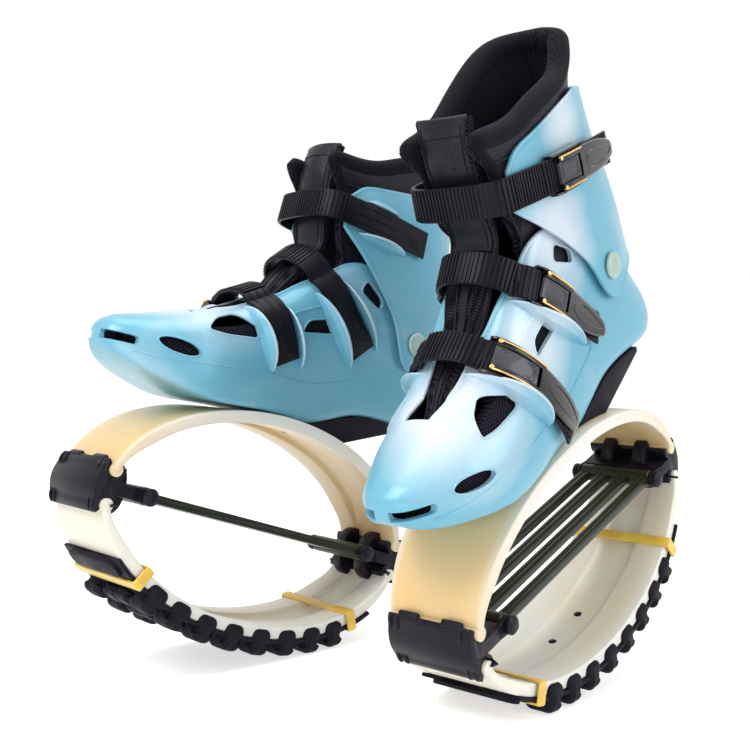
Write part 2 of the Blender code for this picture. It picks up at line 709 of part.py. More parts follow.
def shell_row(share, wall):
    low = sole_z(share) + wall
    closed = share >= THROAT_END_SHARE
    high = top_z(share) - (wall if closed else 0.0)
    half = [section_point(share, low + (high - low) * part, wall) for part in BOOT_ROW_SHARES]
    if closed:
        half[-1] = (half[-1][0], 0.0, high)
    return closed_row(half)


def oval_hole(name, centre, half_length, half_height, slope, depth, made):
    """A slanted oval cutter that runs across the whole shell."""
    points = []
    for k in range(10):
        angle = 2.0 * math.pi * k / 10
        u = half_length * math.cos(angle)
        v = half_height * math.sin(angle)
        points.append((centre[0] + u * math.cos(slope) - v * math.sin(slope),
                       centre[1] + u * math.sin(slope) + v * math.cos(slope)))
    return prism(name, points, -depth, depth, made)


WINDOW_SHARES = ((0.807, 0.307), (0.787, 0.377), (0.729, 0.431), (0.685, 0.384), (0.721, 0.314))
ANKLE_WINDOW_SHARES = ((0.373, 0.774), (0.365, 0.840), (0.307, 0.727), (0.326, 0.673))
REAR_WINDOW_SHARES = ((0.572, 0.464), (0.561, 0.551), (0.489, 0.617), (0.467, 0.537))


def make_shell(name, made):
    outer = [shell_row(share, 0.0) for share in BOOT_STATION_SHARES]
    inner = [shell_row(share, SHELL_WALL) for share in BOOT_STATION_SHARES]
    shell = sheet(name, outer, inner, made, ends_open=False)
    reach = SHELL_HALF_WIDTH * 1.3
    tools = [oval_hole(f"{name}_vent", (VENT_X, VENT_Z), VENT_HALF_LENGTH, VENT_HALF_HEIGHT, VENT_SLOPE_ANGLE,
                       reach, made)]
    low = TOE_SLOT_Z - TOE_SLOT_HEIGHT / 2.0
    high = TOE_SLOT_Z + TOE_SLOT_HEIGHT / 2.0
    tip = TOE_X + TOE_SLOT_HEIGHT
    back = TOE_SLOT_START - TOE_SLOT_HEIGHT / 2.0
    outline = [(TOE_SLOT_START, low), (tip, low), (tip, high), (TOE_SLOT_START, high), (back, TOE_SLOT_Z)]
    tools.append(prism(f"{name}_toe_slot", outline, TOE_SLOT_BRIDGE, reach, made))
    tools.append(prism(f"{name}_inner_toe_slot", outline, -reach, -TOE_SLOT_BRIDGE, made))
    for tag, corners in (("window", WINDOW_SHARES), ("rear_window", REAR_WINDOW_SHARES),
                         ("ankle_window", ANKLE_WINDOW_SHARES)):
        outline = [boot_place(*corner) for corner in corners]
        tools.append(prism(f"{name}_{tag}", outline, -reach, reach, made))
    join_by_boolean(shell, tools, "DIFFERENCE")
    return shell


# The cuff
CUFF_WIDTH_SHARES = ((0.0, 0.0), (0.012, 0.22), (0.045, 0.45), (0.10, 0.655), (0.18, 0.82),
                     (0.30, 0.935), (0.45, 0.985), (0.62, 1.0), (0.80, 1.0), (0.92, 0.96), (1.0, 0.90))
CUFF_LOW_SHARES = ((0.0, 0.12), (0.10, 0.12), (0.25, 0.06), (0.38, 0.0), (0.46, 0.035), (0.56, 0.22),
                   (0.70, 0.36), (0.85, 0.485), (0.95, 0.56), (1.0, 0.60))
CUFF_HIGH_SHARES = ((0.0, 0.985), (0.25, 1.0), (0.45, 0.975), (0.60, 0.945), (0.80, 0.89), (0.94, 0.84),
                    (1.0, 0.77))
CUFF_HEEL_SHARES = ((0.0, 0.0), (0.12, 0.0), (0.24, 0.07), (0.39, 0.18), (0.57, 0.42), (0.71, 0.70),
                    (1.0, 1.0))
CUFF_STATION_SHARES = (0.0, 0.012, 0.045, 0.10, 0.18, 0.28, 0.38, 0.47, 0.62, 0.80, 0.94, 1.0)


def cuff_place(share, height_share):
    """A point (x, half width, z) on the cuff's outside."""
    low = read_table(CUFF_LOW_SHARES, share)
    high = read_table(CUFF_HIGH_SHARES, share)
    level = low + (high - low) * height_share
    z = CUFF_LOW_Z + CUFF_HEIGHT * level
    lean = CUFF_LEAN * read_table(CUFF_HEEL_SHARES, level) * smooth_step((0.75 - share) / 0.75)
    y = CUFF_HALF_WIDTH * read_table(CUFF_WIDTH_SHARES, share)
    y += CUFF_FLARE * level * smooth_step(share / 0.2)
    return CUFF_HEEL_X + CUFF_LENGTH * share + lean, y, z


def cuff_row(share):
    return [cuff_place(share, k / CUFF_ROWS) for k in range(CUFF_ROWS + 1)]


def make_cuff(name, made):
    """A wrap round the heel and ankle, open in front, built as two mirrored sides that meet at the heel."""
    outer = []
    inner = []
    shares = CUFF_STATION_SHARES
    for share in reversed(shares):
        outer.append([lean_in(x, y + CUFF_WALL, z) if share > 0.0 else lean_in(x - CUFF_WALL, 0.0, z)
                      for x, y, z in cuff_row(share)])
        inner.append([lean_in(x, y, z) for x, y, z in cuff_row(share)])
    for share in shares[1:]:
        outer.append([lean_in(x, -y - CUFF_WALL, z) for x, y, z in cuff_row(share)])
        inner.append([lean_in(x, -y, z) for x, y, z in cuff_row(share)])
    cuff = sheet(name, outer, inner, made)
    bore = cylinder(f"{name}_bore", RIVET_RADIUS * RIVET_SHANK_SHARE + CLEARANCE, -CUFF_HALF_WIDTH * 1.4,
                    CUFF_HALF_WIDTH * 1.4, made, 10)
    bore.data.transform(Matrix.Translation((ANKLE_X, 0.0, ANKLE_Z)))
    return join_by_boolean(cuff, [bore], "DIFFERENCE")


def make_rivet(name, sign, made):
    """An ankle rivet: a domed head outside the cuff and a shank through to the shell's wall."""
    shell_y = side_y(shell_share(ANKLE_X), ANKLE_Z)
    cuff_share = (ANKLE_X - CUFF_HEEL_X) / CUFF_LENGTH
    cuff_y = cuff_place(cuff_share, 0.1)[1] + CUFF_WALL + 2.0 * CLEARANCE
    shank = RIVET_RADIUS * RIVET_SHANK_SHARE
    profile = [(shank, shell_y + CLEARANCE), (shank, cuff_y + CLEARANCE)]
    profile += [(RIVET_RADIUS, cuff_y + CLEARANCE), (RIVET_RADIUS, cuff_y + CLEARANCE + RIVET_HEAD * 0.4)]
    profile += [(RIVET_RADIUS * 0.8, cuff_y + CLEARANCE + RIVET_HEAD * 0.85)]
    profile += [(RIVET_RADIUS * 0.35, cuff_y + CLEARANCE + RIVET_HEAD)]
    rings = []
    for radius, y in profile:
        ring = []
        for k in range(10):
            angle = 2.0 * math.pi * k / 10
            x = ANKLE_X + radius * math.cos(angle)
            ring.append(lean_in(x, sign * y, ANKLE_Z) + Vector((0.0, 0.0, radius * math.sin(angle))))
        rings.append(ring)
    return loft(name, rings, made)


# The inner boot
LINER_TOP_SHARES = ((0.0, 0.965), (0.06, 0.995), (0.10, 1.0), (0.16, 0.992), (0.23, 0.975),
                    (0.30, 0.955), (0.37, 0.925), (0.43, 0.895), (0.48, 0.865))
COLLAR_WIDTH_SHARES = ((0.0, 0.0), (0.008, 0.25), (0.028, 0.44), (0.06, 0.62), (0.10, 0.78), (0.16, 0.91),
                       (0.23, 1.0), (0.37, 1.0), (0.43, 0.97), (0.48, 0.92))
COLLAR_ROUND_SHARES = ((0.0, 0.0), (0.008, 0.42), (0.028, 0.66), (0.06, 0.84), (0.10, 0.95), (0.16, 1.03),
                       (0.23, 1.06), (0.37, 1.06), (0.43, 1.08), (0.48, 1.10))
COLLAR_REACH_POWER = 1.6
COLLAR_ROUND_START_SHARE = 0.58
COLLAR_ROUND_SPAN_SHARE = 0.36
COLLAR_FRONT_SHARES = ((0.0, 0.0), (0.06, 0.18), (0.13, 0.33), (0.26, 0.44), (0.37, 0.48), (0.43, 0.55),
                       (0.50, 0.80), (0.64, 1.0), (1.0, 1.0))
COLLAR_LEAN_SHARES = ((0.0, 0.0), (0.05, 0.04), (0.31, 0.46), (0.626, 0.87), (0.89, 1.0), (1.0, 1.0))


def liner_row(share, wall):
    """One cross section of the inner boot: shell-shaped below and, at the ankle, a shaft above."""
    skin = SHELL_WALL + LINER_GAP + wall
    toe = max(0.0, (share - LINER_TOE_SHARE) / (1.0 - LINER_TOE_SHARE))
    share = min(share, LINER_TOE_SHARE + toe * (LINER_END_SHARE - LINER_TOE_SHARE))
    low = sole_z(share) + skin
    shaft = share <= SHAFT_END_SHARE
    closed = share >= THROAT_END_SHARE
    brim = top_z(share) - (SHELL_WALL + TONGUE_THICKNESS + 2.0 * LINER_GAP + wall if closed else LINER_DROP)
    shell_low = sole_z(share) + SHELL_WALL
    shell_high = top_z(share) - (SHELL_WALL if closed else 0.0)
    half = []
    for part in BOOT_ROW_SHARES[:-1]:
        z = shell_low + (shell_high - shell_low) * part
        half.append(section_point(share, min(max(z, low), brim - wall * BRIM_LIP_SHARE), skin))
    last = section_point(share, shell_high, skin)
    below = half[-1]
    t = (brim - below[2]) / (shell_high - below[2])
    draw = 1.0 if shaft else BRIM_DRAW_SHARE if share < BRIM_DRAW_END_SHARE else THROAT_DRAW_SHARE
    half.append((below[0], 0.0 if closed else (below[1] + (last[1] - below[1]) * t) * draw, brim))
    half = [(x, y * math.sqrt(max(0.0, 1.0 - toe * toe)), z) for x, y, z in half]
    for k in range(1, SHAFT_ROWS + 1):
        if not shaft:
            half.append(half[-1])
            continue
        foot = top_z(share) + CLEARANCE
        z = foot + (COLLAR_TOP * read_table(LINER_TOP_SHARES, share) - foot) * (k - 1.0) / (SHAFT_ROWS - 1.0)
        x, y, z = section_point(share, z, skin)
        rise = (z - SOLE_Z - SHELL_HEIGHT) / (COLLAR_TOP - SOLE_Z - SHELL_HEIGHT)
        inset = wall * min(1.0, share / 0.03)
        narrow = read_table(COLLAR_WIDTH_SHARES, share)
        wide = read_table(COLLAR_ROUND_SHARES, share)
        opened = smooth_step((rise - COLLAR_ROUND_START_SHARE) / COLLAR_ROUND_SPAN_SHARE)
        collar = COLLAR_HALF_WIDTH * (narrow + (wide - narrow) * opened) - inset
        y += (max(collar, 0.0) - y) * smooth_step((z - foot) / WIDEST_HEIGHT)
        x += COLLAR_LEAN * read_table(COLLAR_LEAN_SHARES, rise) * smooth_step((0.45 - share) / 0.45)
        x += COLLAR_REACH * read_table(COLLAR_FRONT_SHARES, rise) * (share / SHAFT_END_SHARE) ** COLLAR_REACH_POWER
        half.append((x, y, z))
    return closed_row(half)


def make_liner(name, made):
    outer = [liner_row(share, 0.0) for share in BOOT_STATION_SHARES]
    inner = [liner_row(share, LINER_WALL) for share in BOOT_STATION_SHARES]
    return sheet(name, outer, inner, made, ends_open=False)


TONGUE_PATH_SHARES = ((0.83, 0.348), (0.785, 0.378), (0.735, 0.475), (0.685, 0.54), (0.63, 0.645),
                      (0.60, 0.76), (0.565, 0.90), (0.535, 1.03), (0.545, 1.16), (0.555, 1.31),
                      (0.562, 1.46), (0.560, 1.63))
TONGUE_WIDTH_SHARES = ((0.0, 0.185), (0.09, 0.28), (0.18, 0.42), (0.27, 0.52), (0.36, 0.67),
                       (0.45, 0.77), (0.55, 0.835), (0.80, 0.84), (0.91, 0.93), (1.0, 1.0))


def make_tongue(name, made):
    """A padded tongue that fills the throat, from the toe cap to above the cuff."""
    places = [boot_place(*shares) for shares in TONGUE_PATH_SHARES]
    path = [Vector((x, 0.0, z)) for x, z in places]
    outer = []
    inner = []
    count = len(path)
    for k, point in enumerate(path):
        along = (path[min(k + 1, count - 1)] - path[max(k - 1, 0)]).normalized()
        normal = Vector((along.z, 0.0, -along.x))
        width_share = read_table(TONGUE_WIDTH_SHARES, k / (count - 1.0))
        half = TONGUE_HALF_WIDTH * width_share
        outer_row = []
        inner_row = []
        for j in range(5):
            across = j / 2.0 - 1.0
            bulge = TONGUE_BULGE * width_share ** 2 * (1.0 - across * across)
            place = point + Vector((0.0, half * across, 0.0)) + normal * bulge
            outer_row.append(lean_in(*place))
            inner_row.append(lean_in(*(place - normal * TONGUE_THICKNESS)))
        outer.append(outer_row)
        inner.append(inner_row)
    return sheet(name, outer, inner, made)


# Straps and buckles follow a path round the boot
# Each has its top as shares of the shell's length and of the shell's or the cuff's height, the way
# it falls, how squarely it bends over the front, and its reach to the inboard and outboard ends and
# to the buckle as shares of the shell's height.
STRAP_SHARES = {
    "toe": {"top": (0.688, 0.621), "fall": (-0.55, -0.835), "bend": 2.0,
            "inboard": 0.413, "outboard": 0.654, "buckle": 0.2},
    "instep": {"top": (0.585, 0.931), "fall": (-0.76, -0.65), "bend": 2.0,
               "inboard": 0.666, "outboard": 0.787, "buckle": 0.348},
    "cuff": {"top": (0.580, 0.682), "fall": (-0.995, 0.020), "bend": 3.0,
             "inboard": 0.746, "outboard": 0.999, "buckle": 0.586},
}


def buckle_start(strap):
    """How far along a strap from its top centre its buckle begins."""
    return SHELL_HEIGHT * STRAP_SHARES[strap]["buckle"]


def strap_top(strap):
    """The place (x, z) where a strap crosses the middle of the boot's front."""
    length_share, height_share = STRAP_SHARES[strap]["top"]
    x, z = boot_place(length_share, height_share)
    return (x, CUFF_LOW_Z + CUFF_HEIGHT * height_share) if strap == "cuff" else (x, z)


def outside_y(strap, x, z):
    """Half width of what a strap lies on at a place: the shell, or the cuff for the cuff strap."""
    if strap == "cuff":
        share = min(max((x - CUFF_HEEL_X) / CUFF_LENGTH, 0.0), 1.0)
        level = (z - CUFF_LOW_Z) / CUFF_HEIGHT
        y = CUFF_HALF_WIDTH * read_table(CUFF_WIDTH_SHARES, share) + CUFF_WALL + CLEARANCE
        return y + CUFF_FLARE * level * smooth_step(share / 0.2)
    share = shell_share(x)
    return side_y(share, min(z, top_z(share)))


def strap_line(strap, offset, sign):
    """Dense points from the top centre down one side, for an offset across the strap's width."""
    spec = STRAP_SHARES[strap]
    fall = Vector(spec["fall"]).normalized()
    across = Vector((-fall.y, fall.x))
    start = Vector(strap_top(strap)) + across * offset
    length = SHELL_HEIGHT * (spec["inboard"] if sign < 0.0 else spec["outboard"])
    steps = PATH_STEPS
    edge = None
    found = []
    for k in range(steps * 2):
        q = length * k / (steps * 2 - 1.0)
        x, z = start + fall * q
        if strap == "cuff":
            on_side = x <= CUFF_FRONT_X
        else:
            on_side = z <= top_z(shell_share(x))
        if on_side:
            edge = q
            edge_y = outside_y(strap, x, z)
            break
    for k in range(steps + 1):
        q = length * k / steps
        x, z = start + fall * q
        if q < edge:
            y = edge_y * max(0.0, 1.0 - (1.0 - q / edge) ** spec["bend"]) ** (1.0 / spec["bend"])
        else:
            y = outside_y(strap, x, z)
        found.append(Vector((x, sign * y, z)))
    return found


def strap_lines(strap):
    """Three lines along a strap, from its inboard end over the top to its outboard end, by length."""
    lines = []
    for offset in (-STRAP_WIDTH / 2.0, 0.0, STRAP_WIDTH / 2.0):
        inboard = strap_line(strap, offset, -1.0)
        outboard = strap_line(strap, offset, 1.0)
        points = list(reversed(inboard)) + outboard[1:]
        zero = len(inboard) - 1
        lengths = [0.0]
        for k in range(1, len(points)):
            lengths.append(lengths[-1] + (points[k] - points[k - 1]).length)
        lengths = [value - lengths[zero] for value in lengths]
        lines.append((points, lengths))
    return lines


LINES = {strap: strap_lines(strap) for strap in STRAP_SHARES}


def line_point(line, share):
    """The point at a share of a line's length, with 0 at the top centre and 1 at the outboard end."""
    points, lengths = line
    want = share * (lengths[-1] if share > 0.0 else -lengths[0])
    for k in range(1, len(points)):
        if lengths[k] >= want:
            t = (want - lengths[k - 1]) / (lengths[k] - lengths[k - 1])
            return points[k - 1].lerp(points[k], min(max(t, 0.0), 1.0))
    return points[-1].copy()


def strap_point(strap, along, across, lift):
    """A place on a strap's path: metres along from the top centre, across its width, and off the boot."""
    lines = LINES[strap]
    centre = lines[1]
    limit = centre[1][-1] if along > 0.0 else -centre[1][0]
    share = along / limit
    over = 0.0
    if abs(share) > 1.0:
        over = along - math.copysign(limit, along)
        share = math.copysign(1.0, share)
    low, middle, high = (line_point(line, share) for line in lines)
    t = across / (STRAP_WIDTH / 2.0)
    place = middle + (high - low) * (t / 2.0) + (high + low - 2.0 * middle) * (t * t / 2.0)
    behind = line_point(centre, max(share - HEADING_SHARE, -1.0))
    ahead = line_point(centre, min(share + HEADING_SHARE, 1.0))
    forward = (ahead - behind).normalized()
    side = (high - low).normalized()
    normal = side.cross(forward).normalized()
    return lean_in(*(place + forward * over + normal * lift))


def strap_lift(strap, along):
    """How high the strap runs: on the boot, or over the buckle's floor."""
    raised = smooth_step((along - buckle_start(strap)) / HINGE_INSET + RAMP_START_SHARE)
    return (BASE_FLOOR + CLEARANCE) * raised


def spread(first, last, steps):
    return [first + (last - first) * k / steps for k in range(steps + 1)]


def strap_stations(strap):
    """Places along a strap, with the buckle base's own places among them."""
    centre = LINES[strap][1]
    start = buckle_start(strap)
    ramp = start - HINGE_INSET * RAMP_START_SHARE
    over = start - HINGE_INSET * RAMP_END_SHARE
    places = spread(centre[1][0], ramp, STRAP_STEPS)
    places += [(ramp + over) / 2.0, over]
    places += spread(start, start + BASE_LENGTH, BASE_STEPS)
    if centre[1][-1] - places[-1] > HINGE_INSET:
        places += spread(places[-1], centre[1][-1], 2)[1:]
    return places


def make_strap(name, strap, made):
    outer = []
    inner = []
    for along in strap_stations(strap):
        lift = SURFACE_GAP + strap_lift(strap, along)
        half = STRAP_WIDTH / 2.0
        places = (-half, 0.0, half)
        outer.append([strap_point(strap, along, place, lift + STRAP_THICKNESS) for place in places])
        inner.append([strap_point(strap, along, place, lift) for place in places])
    return sheet(name, outer, inner, made)


def make_base(name, strap, made):
    """A buckle's base: a floor under the strap with a wall along each edge."""
    start = buckle_start(strap)
    half = STRAP_WIDTH / 2.0 + CLEARANCE
    wide = half + BASE_WALL
    rings = []
    for k, along in enumerate(spread(start, start + BASE_LENGTH, BASE_STEPS)):
        low = SURFACE_GAP - CLEARANCE
        floor = low + BASE_FLOOR
        high = low + BASE_HEIGHT * (1.0 - BASE_FALL_SHARE * (k / BASE_STEPS) ** 3)
        shape = [(-wide, low), (0.0, low), (wide, low), (wide, high), (half, high), (half, floor)]
        shape.append((0.0, floor))
        shape += [(-half, floor), (-half, high), (-wide, high)]
        rings.append([strap_point(strap, along, across, lift) for across, lift in shape])
    return loft(name, rings, made)


def lever_floor():
    """How far off the boot a lever's underside runs."""
    return SURFACE_GAP + BASE_FLOOR + STRAP_THICKNESS + 4.0 * CLEARANCE


def hinge_place(strap):
    """The middle of a buckle's hinge line."""
    return strap_point(strap, buckle_start(strap) + HINGE_INSET, 0.0, lever_floor() + HINGE_RADIUS)


LEVER_WIDTH_SHARES = ((0.0, 0.98), (0.3, 1.0), (0.55, 1.0), (0.75, 0.90), (0.90, 0.66), (1.0, 0.34))


def make_lever(name, strap, made):
    """The drive lever: two arms beside the release tab and a long paddle behind them."""
    start = buckle_start(strap) + HINGE_INSET
    low = lever_floor()
    half = STRAP_WIDTH / 2.0 - CLEARANCE
    paddle_start = TAB_LENGTH + 2.0 * CLEARANCE
    rings = []
    for reach in spread(paddle_start, LEVER_LENGTH, LEVER_STEPS):
        wide = half * read_table(LEVER_WIDTH_SHARES, reach / LEVER_LENGTH)
        high = low + LEVER_THICKNESS * read_table(LEVER_HEIGHT_SHARES, reach / LEVER_LENGTH)
        edge = high - LEVER_THICKNESS * LEVER_CROWN_SHARE
        crown = wide * LEVER_FLAT_SHARE
        shape = [(-wide, low), (wide, low), (wide, edge), (crown, high), (-crown, high), (-wide, edge)]
        rings.append([strap_point(strap, start + reach, place, lift) for place, lift in shape])
    paddle = loft(name, rings, made)
    arms = []
    for sign, tag in ((1.0, "upper"), (-1.0, "lower")):
        arm_rings = []
        for reach in spread(-HINGE_EDGE, paddle_start + HINGE_INSET, ARM_STEPS):
            near = sign * (half - LEVER_ARM_WIDTH)
            far = sign * (half - CLEARANCE / 2.0)
            foot = low + CLEARANCE / 2.0
            high = low + LEVER_THICKNESS * ARM_HEIGHT_SHARE
            shape = [(near, foot), (far, foot), (far, high), (near, high)]
            arm_rings.append([strap_point(strap, start + reach, place, lift) for place, lift in shape])
        arms.append(loft(f"{name}_{tag}_arm", arm_rings, made))
    join_by_boolean(paddle, arms, "UNION")
    return paddle


def make_tab(name, strap, made):
    """The release tab between the lever's arms."""
    start = buckle_start(strap) + HINGE_INSET
    low = lever_floor()
    half = STRAP_WIDTH / 2.0 - 2.0 * CLEARANCE - LEVER_ARM_WIDTH
    rings = []
    for reach in spread(-HINGE_EDGE, TAB_LENGTH - HINGE_EDGE, TAB_STEPS):
        high = low + LEVER_THICKNESS * read_table(TAB_HEIGHT_SHARES, reach / TAB_LENGTH)
        shape = [(-half, low), (half, low), (half, high), (-half, high)]
        rings.append([strap_point(strap, start + reach, place, lift) for place, lift in shape])
    return loft(name, rings, made)


def make_spacer(name, made):
    """A solid wedge whose faces follow the bow and the raised sole."""
    top = []
    for share in BOOT_STATION_SHARES:
        row = shell_row(share, 0.0)
        middle = row[len(row) // 2]
        if SPACER_BACK_X < middle.x < SPACER_FRONT_X:
            top.append((middle.x, middle.z - CLEARANCE))
    bottom = []
    for step in range(BOW_STEPS + 1):
        place = bow_point(bow_angle(step), BOW_THICKNESS / 2.0 + CLEARANCE, 0.0, UPPER_BOW_HEIGHT, 1.0)
        if SPACER_LEAVE_X < place.x < SPACER_FRONT_X:
            bottom.append((place.x, place.z))
    tip_x, tip_z = top[0]
    bottom.append((tip_x, tip_z - SPACER_TIP))
    return prism(name, top + bottom, -SPACER_HALF_WIDTH, SPACER_HALF_WIDTH, made)


# Putting a shoe together
def empty(name, location, parent):
    guide = bpy.data.objects.new(name, None)
    guide.location = location
    guide.parent = parent
    COLLECTION.objects.link(guide)
    return guide


def at_heel(thing):
    """Turns a piece made for the toe end, with its tools, into the heel end's."""
    for piece in [thing] + [bpy.data.objects[name] for name in thing.get("tools", [])]:
        piece.data.transform(Matrix.Scale(-1.0, 4, (1.0, 0.0, 0.0)))
        piece.data.flip_normals()
    return thing


def seat(thing, parent, pivot, mirrored):
    """Mirrors a finished piece for the right shoe and hangs it, with its tools, on its pivot."""
    names = thing.get("tools", [])
    for piece in [thing] + [bpy.data.objects[name] for name in names]:
        if mirrored:
            piece.data.transform(Matrix.Scale(-1.0, 4, (0.0, 1.0, 0.0)))
            piece.data.flip_normals()
        piece.data.transform(Matrix.Translation(-Vector(pivot)))
        piece.parent = parent
    if "tools" in thing:
        del thing["tools"]


def make_shoe(side, location, yaw, pitch, looks):
    mirrored = side == "right"
    flip = -1.0 if mirrored else 1.0
    shoe = empty(f"{side}_shoe", location, None)
    shoe.rotation_euler = Euler((0.0, pitch, yaw), "XYZ")
    boot = empty(f"{side}_boot", (0.0, 0.0, 0.0), shoe)
    tension = empty(f"{side}_tension", (0.0, 0.0, 0.0), shoe)
    ankle = (ANKLE_X, 0.0, ANKLE_Z)
    cuff = empty(f"{side}_ankle", ankle, boot)

    origin = (0.0, 0.0, 0.0)
    seat(make_bow(f"{side}_ground_bow", LOWER_BOW_HEIGHT, LOWER_BOW_WIDTH, -1.0, looks["bow"]), shoe, origin,
         mirrored)
    seat(make_tread(f"{side}_tread", looks["rubber"]), shoe, origin, mirrored)
    band_angle = math.pi / 2.0 - BAND_MIDDLE_ANGLE
    seat(make_band(f"{side}_front_band", band_angle, looks["band"]), shoe, origin, mirrored)
    seat(make_band(f"{side}_rear_band", math.pi - band_angle, looks["band"]), shoe, origin, mirrored)

    seat(make_joint(f"{side}_front_joint", looks["joint"]), tension, origin, mirrored)
    seat(at_heel(make_joint(f"{side}_rear_joint", looks["joint"])), tension, origin, mirrored)
    seat(make_pin(f"{side}_front_pin", looks["joint"]), tension, origin, mirrored)
    seat(at_heel(make_pin(f"{side}_rear_pin", looks["joint"])), tension, origin, mirrored)
    seat(make_spring(f"{side}_tension_spring", looks["spring"]), tension, origin, mirrored)

    upper_bow = make_bow(f"{side}_boot_bow", UPPER_BOW_HEIGHT, UPPER_BOW_WIDTH, 1.0, looks["bow"])
    seat(upper_bow, boot, origin, mirrored)
    seat(make_spacer(f"{side}_heel_spacer", looks["rubber"]), boot, origin, mirrored)
    seat(make_shell(f"{side}_shell", looks["shell"]), boot, origin, mirrored)
    seat(make_liner(f"{side}_liner", looks["liner"]), boot, origin, mirrored)
    seat(make_tongue(f"{side}_tongue", looks["liner"]), boot, origin, mirrored)
    for strap in ("toe", "instep"):
        seat(make_strap(f"{side}_{strap}_strap", strap, looks["strap"]), boot, origin, mirrored)
        seat(make_base(f"{side}_{strap}_buckle_base", strap, looks["buckle"]), boot, origin, mirrored)
    for sign, tag in ((1.0, "outer"), (-1.0, "inner")):
        seat(make_rivet(f"{side}_{tag}_ankle_rivet", sign, looks["rivet"]), boot, origin, mirrored)

    seat(make_cuff(f"{side}_cuff", looks["shell"]), cuff, ankle, mirrored)
    seat(make_strap(f"{side}_cuff_strap", "cuff", looks["strap"]), cuff, ankle, mirrored)
    seat(make_base(f"{side}_cuff_buckle_base", "cuff", looks["buckle"]), cuff, ankle, mirrored)

    for strap in STRAP_SHARES:
        hinge = hinge_place(strap)
        carrier = cuff if strap == "cuff" else boot
        shift = Vector(ankle) if strap == "cuff" else Vector(origin)
        local = Vector((hinge.x, flip * hinge.y, hinge.z)) - shift
        axle = empty(f"{side}_{strap}_hinge", local, carrier)
        pivot = (hinge.x, flip * hinge.y, hinge.z)
        seat(make_lever(f"{side}_{strap}_lever", strap, looks["buckle"]), axle, pivot, mirrored)
        seat(make_tab(f"{side}_{strap}_release_tab", strap, looks["tab"]), axle, pivot, mirrored)
    return shoe


def settle(shoes):
    """Stands each shoe on the floor and puts the middle of the pair's base at the origin."""
    bpy.context.view_layer.update()
    view = bpy.context.evaluated_depsgraph_get()
    low = Vector((math.inf, math.inf, 0.0))
    high = Vector((-math.inf, -math.inf, 0.0))
    for shoe in shoes:
        side = shoe.name.split("_")[0]
        floor = math.inf
        for thing in COLLECTION.objects:
            if thing.type != "MESH" or not thing.name.startswith(side):
                continue
            made = thing.evaluated_get(view)
            for vertex in made.data.vertices:
                place = made.matrix_world @ vertex.co
                floor = min(floor, place.z)
                low.x, low.y = min(low.x, place.x), min(low.y, place.y)
                high.x, high.y = max(high.x, place.x), max(high.y, place.y)
        shoe.location.z -= floor
    for shoe in shoes:
        shoe.location -= (low + high) / 2.0


def main():
    for thing in list(bpy.data.objects):
        bpy.data.objects.remove(thing)
    scene = bpy.context.scene
    scene.collection.children.link(COLLECTION)
    scene.collection.children.link(CUTTERS)
    looks = {
        "shell": material("pearl_blue", (0.36, 0.68, 0.86), 0.25),
        "liner": material("black_textile", (0.02, 0.02, 0.025), 0.75),
        "strap": material("black_strap", (0.015, 0.015, 0.025), 0.40),
        "buckle": material("gloss_black", (0.01, 0.01, 0.015), 0.20),
        "tab": material("grey_tab", (0.10, 0.10, 0.12), 0.30),
        "rivet": material("pearl_rivet", (0.75, 0.80, 0.72), 0.20, 0.4),
        "bow": material("cream_bow", (0.86, 0.80, 0.62), 0.45),
        "band": material("amber_band", (0.90, 0.66, 0.16), 0.50),
        "joint": material("black_joint", (0.02, 0.02, 0.03), 0.35),
        "spring": material("dark_spring", (0.03, 0.035, 0.02), 0.40),
        "rubber": material("black_rubber", (0.02, 0.02, 0.022), 0.65),
    }
    left = Vector((-STRIDE / 2.0, STANCE / 2.0, 0.0))
    right = Vector((STRIDE / 2.0, -STANCE / 2.0, 0.0))
    shoes = [make_shoe("left", left, LEFT_YAW, LEFT_PITCH, looks)]
    shoes.append(make_shoe("right", right, RIGHT_YAW, RIGHT_PITCH, looks))
    settle(shoes)


main()
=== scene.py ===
"""The looks of a pair of rebound boots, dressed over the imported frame.

Every piece is modelled once in a shoe's own frame, with X towards the toe, Y outboard and Z up from
half-way between the bow joints, and is then set into both shoes, mirrored for the right one.
"""
import json
import math

import bmesh
import bpy
from bpy.props import FloatProperty, FloatVectorProperty, IntProperty, PointerProperty
from bpy.types import Operator, Panel, PropertyGroup
from mathutils import Euler, Matrix, Vector


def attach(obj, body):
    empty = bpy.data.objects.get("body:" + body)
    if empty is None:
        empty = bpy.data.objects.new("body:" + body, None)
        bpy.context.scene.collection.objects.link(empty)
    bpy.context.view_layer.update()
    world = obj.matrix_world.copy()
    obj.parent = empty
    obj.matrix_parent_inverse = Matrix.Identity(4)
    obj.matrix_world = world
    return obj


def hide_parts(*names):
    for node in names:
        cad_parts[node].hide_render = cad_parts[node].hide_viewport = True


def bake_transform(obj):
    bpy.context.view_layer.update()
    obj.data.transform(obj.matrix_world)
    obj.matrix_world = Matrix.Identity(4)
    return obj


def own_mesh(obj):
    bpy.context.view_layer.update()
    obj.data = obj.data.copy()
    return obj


bl_info = {
    "name": "Rebound boots",
    "version": (1, 0, 0),
    "blender": (4, 5, 0),
    "location": "3D View > Sidebar > Rebound boots",
    "description": "Dresses the frame of a pair of sprung jumping boots and sets them on a studio floor",
    "category": "Add Mesh",
}

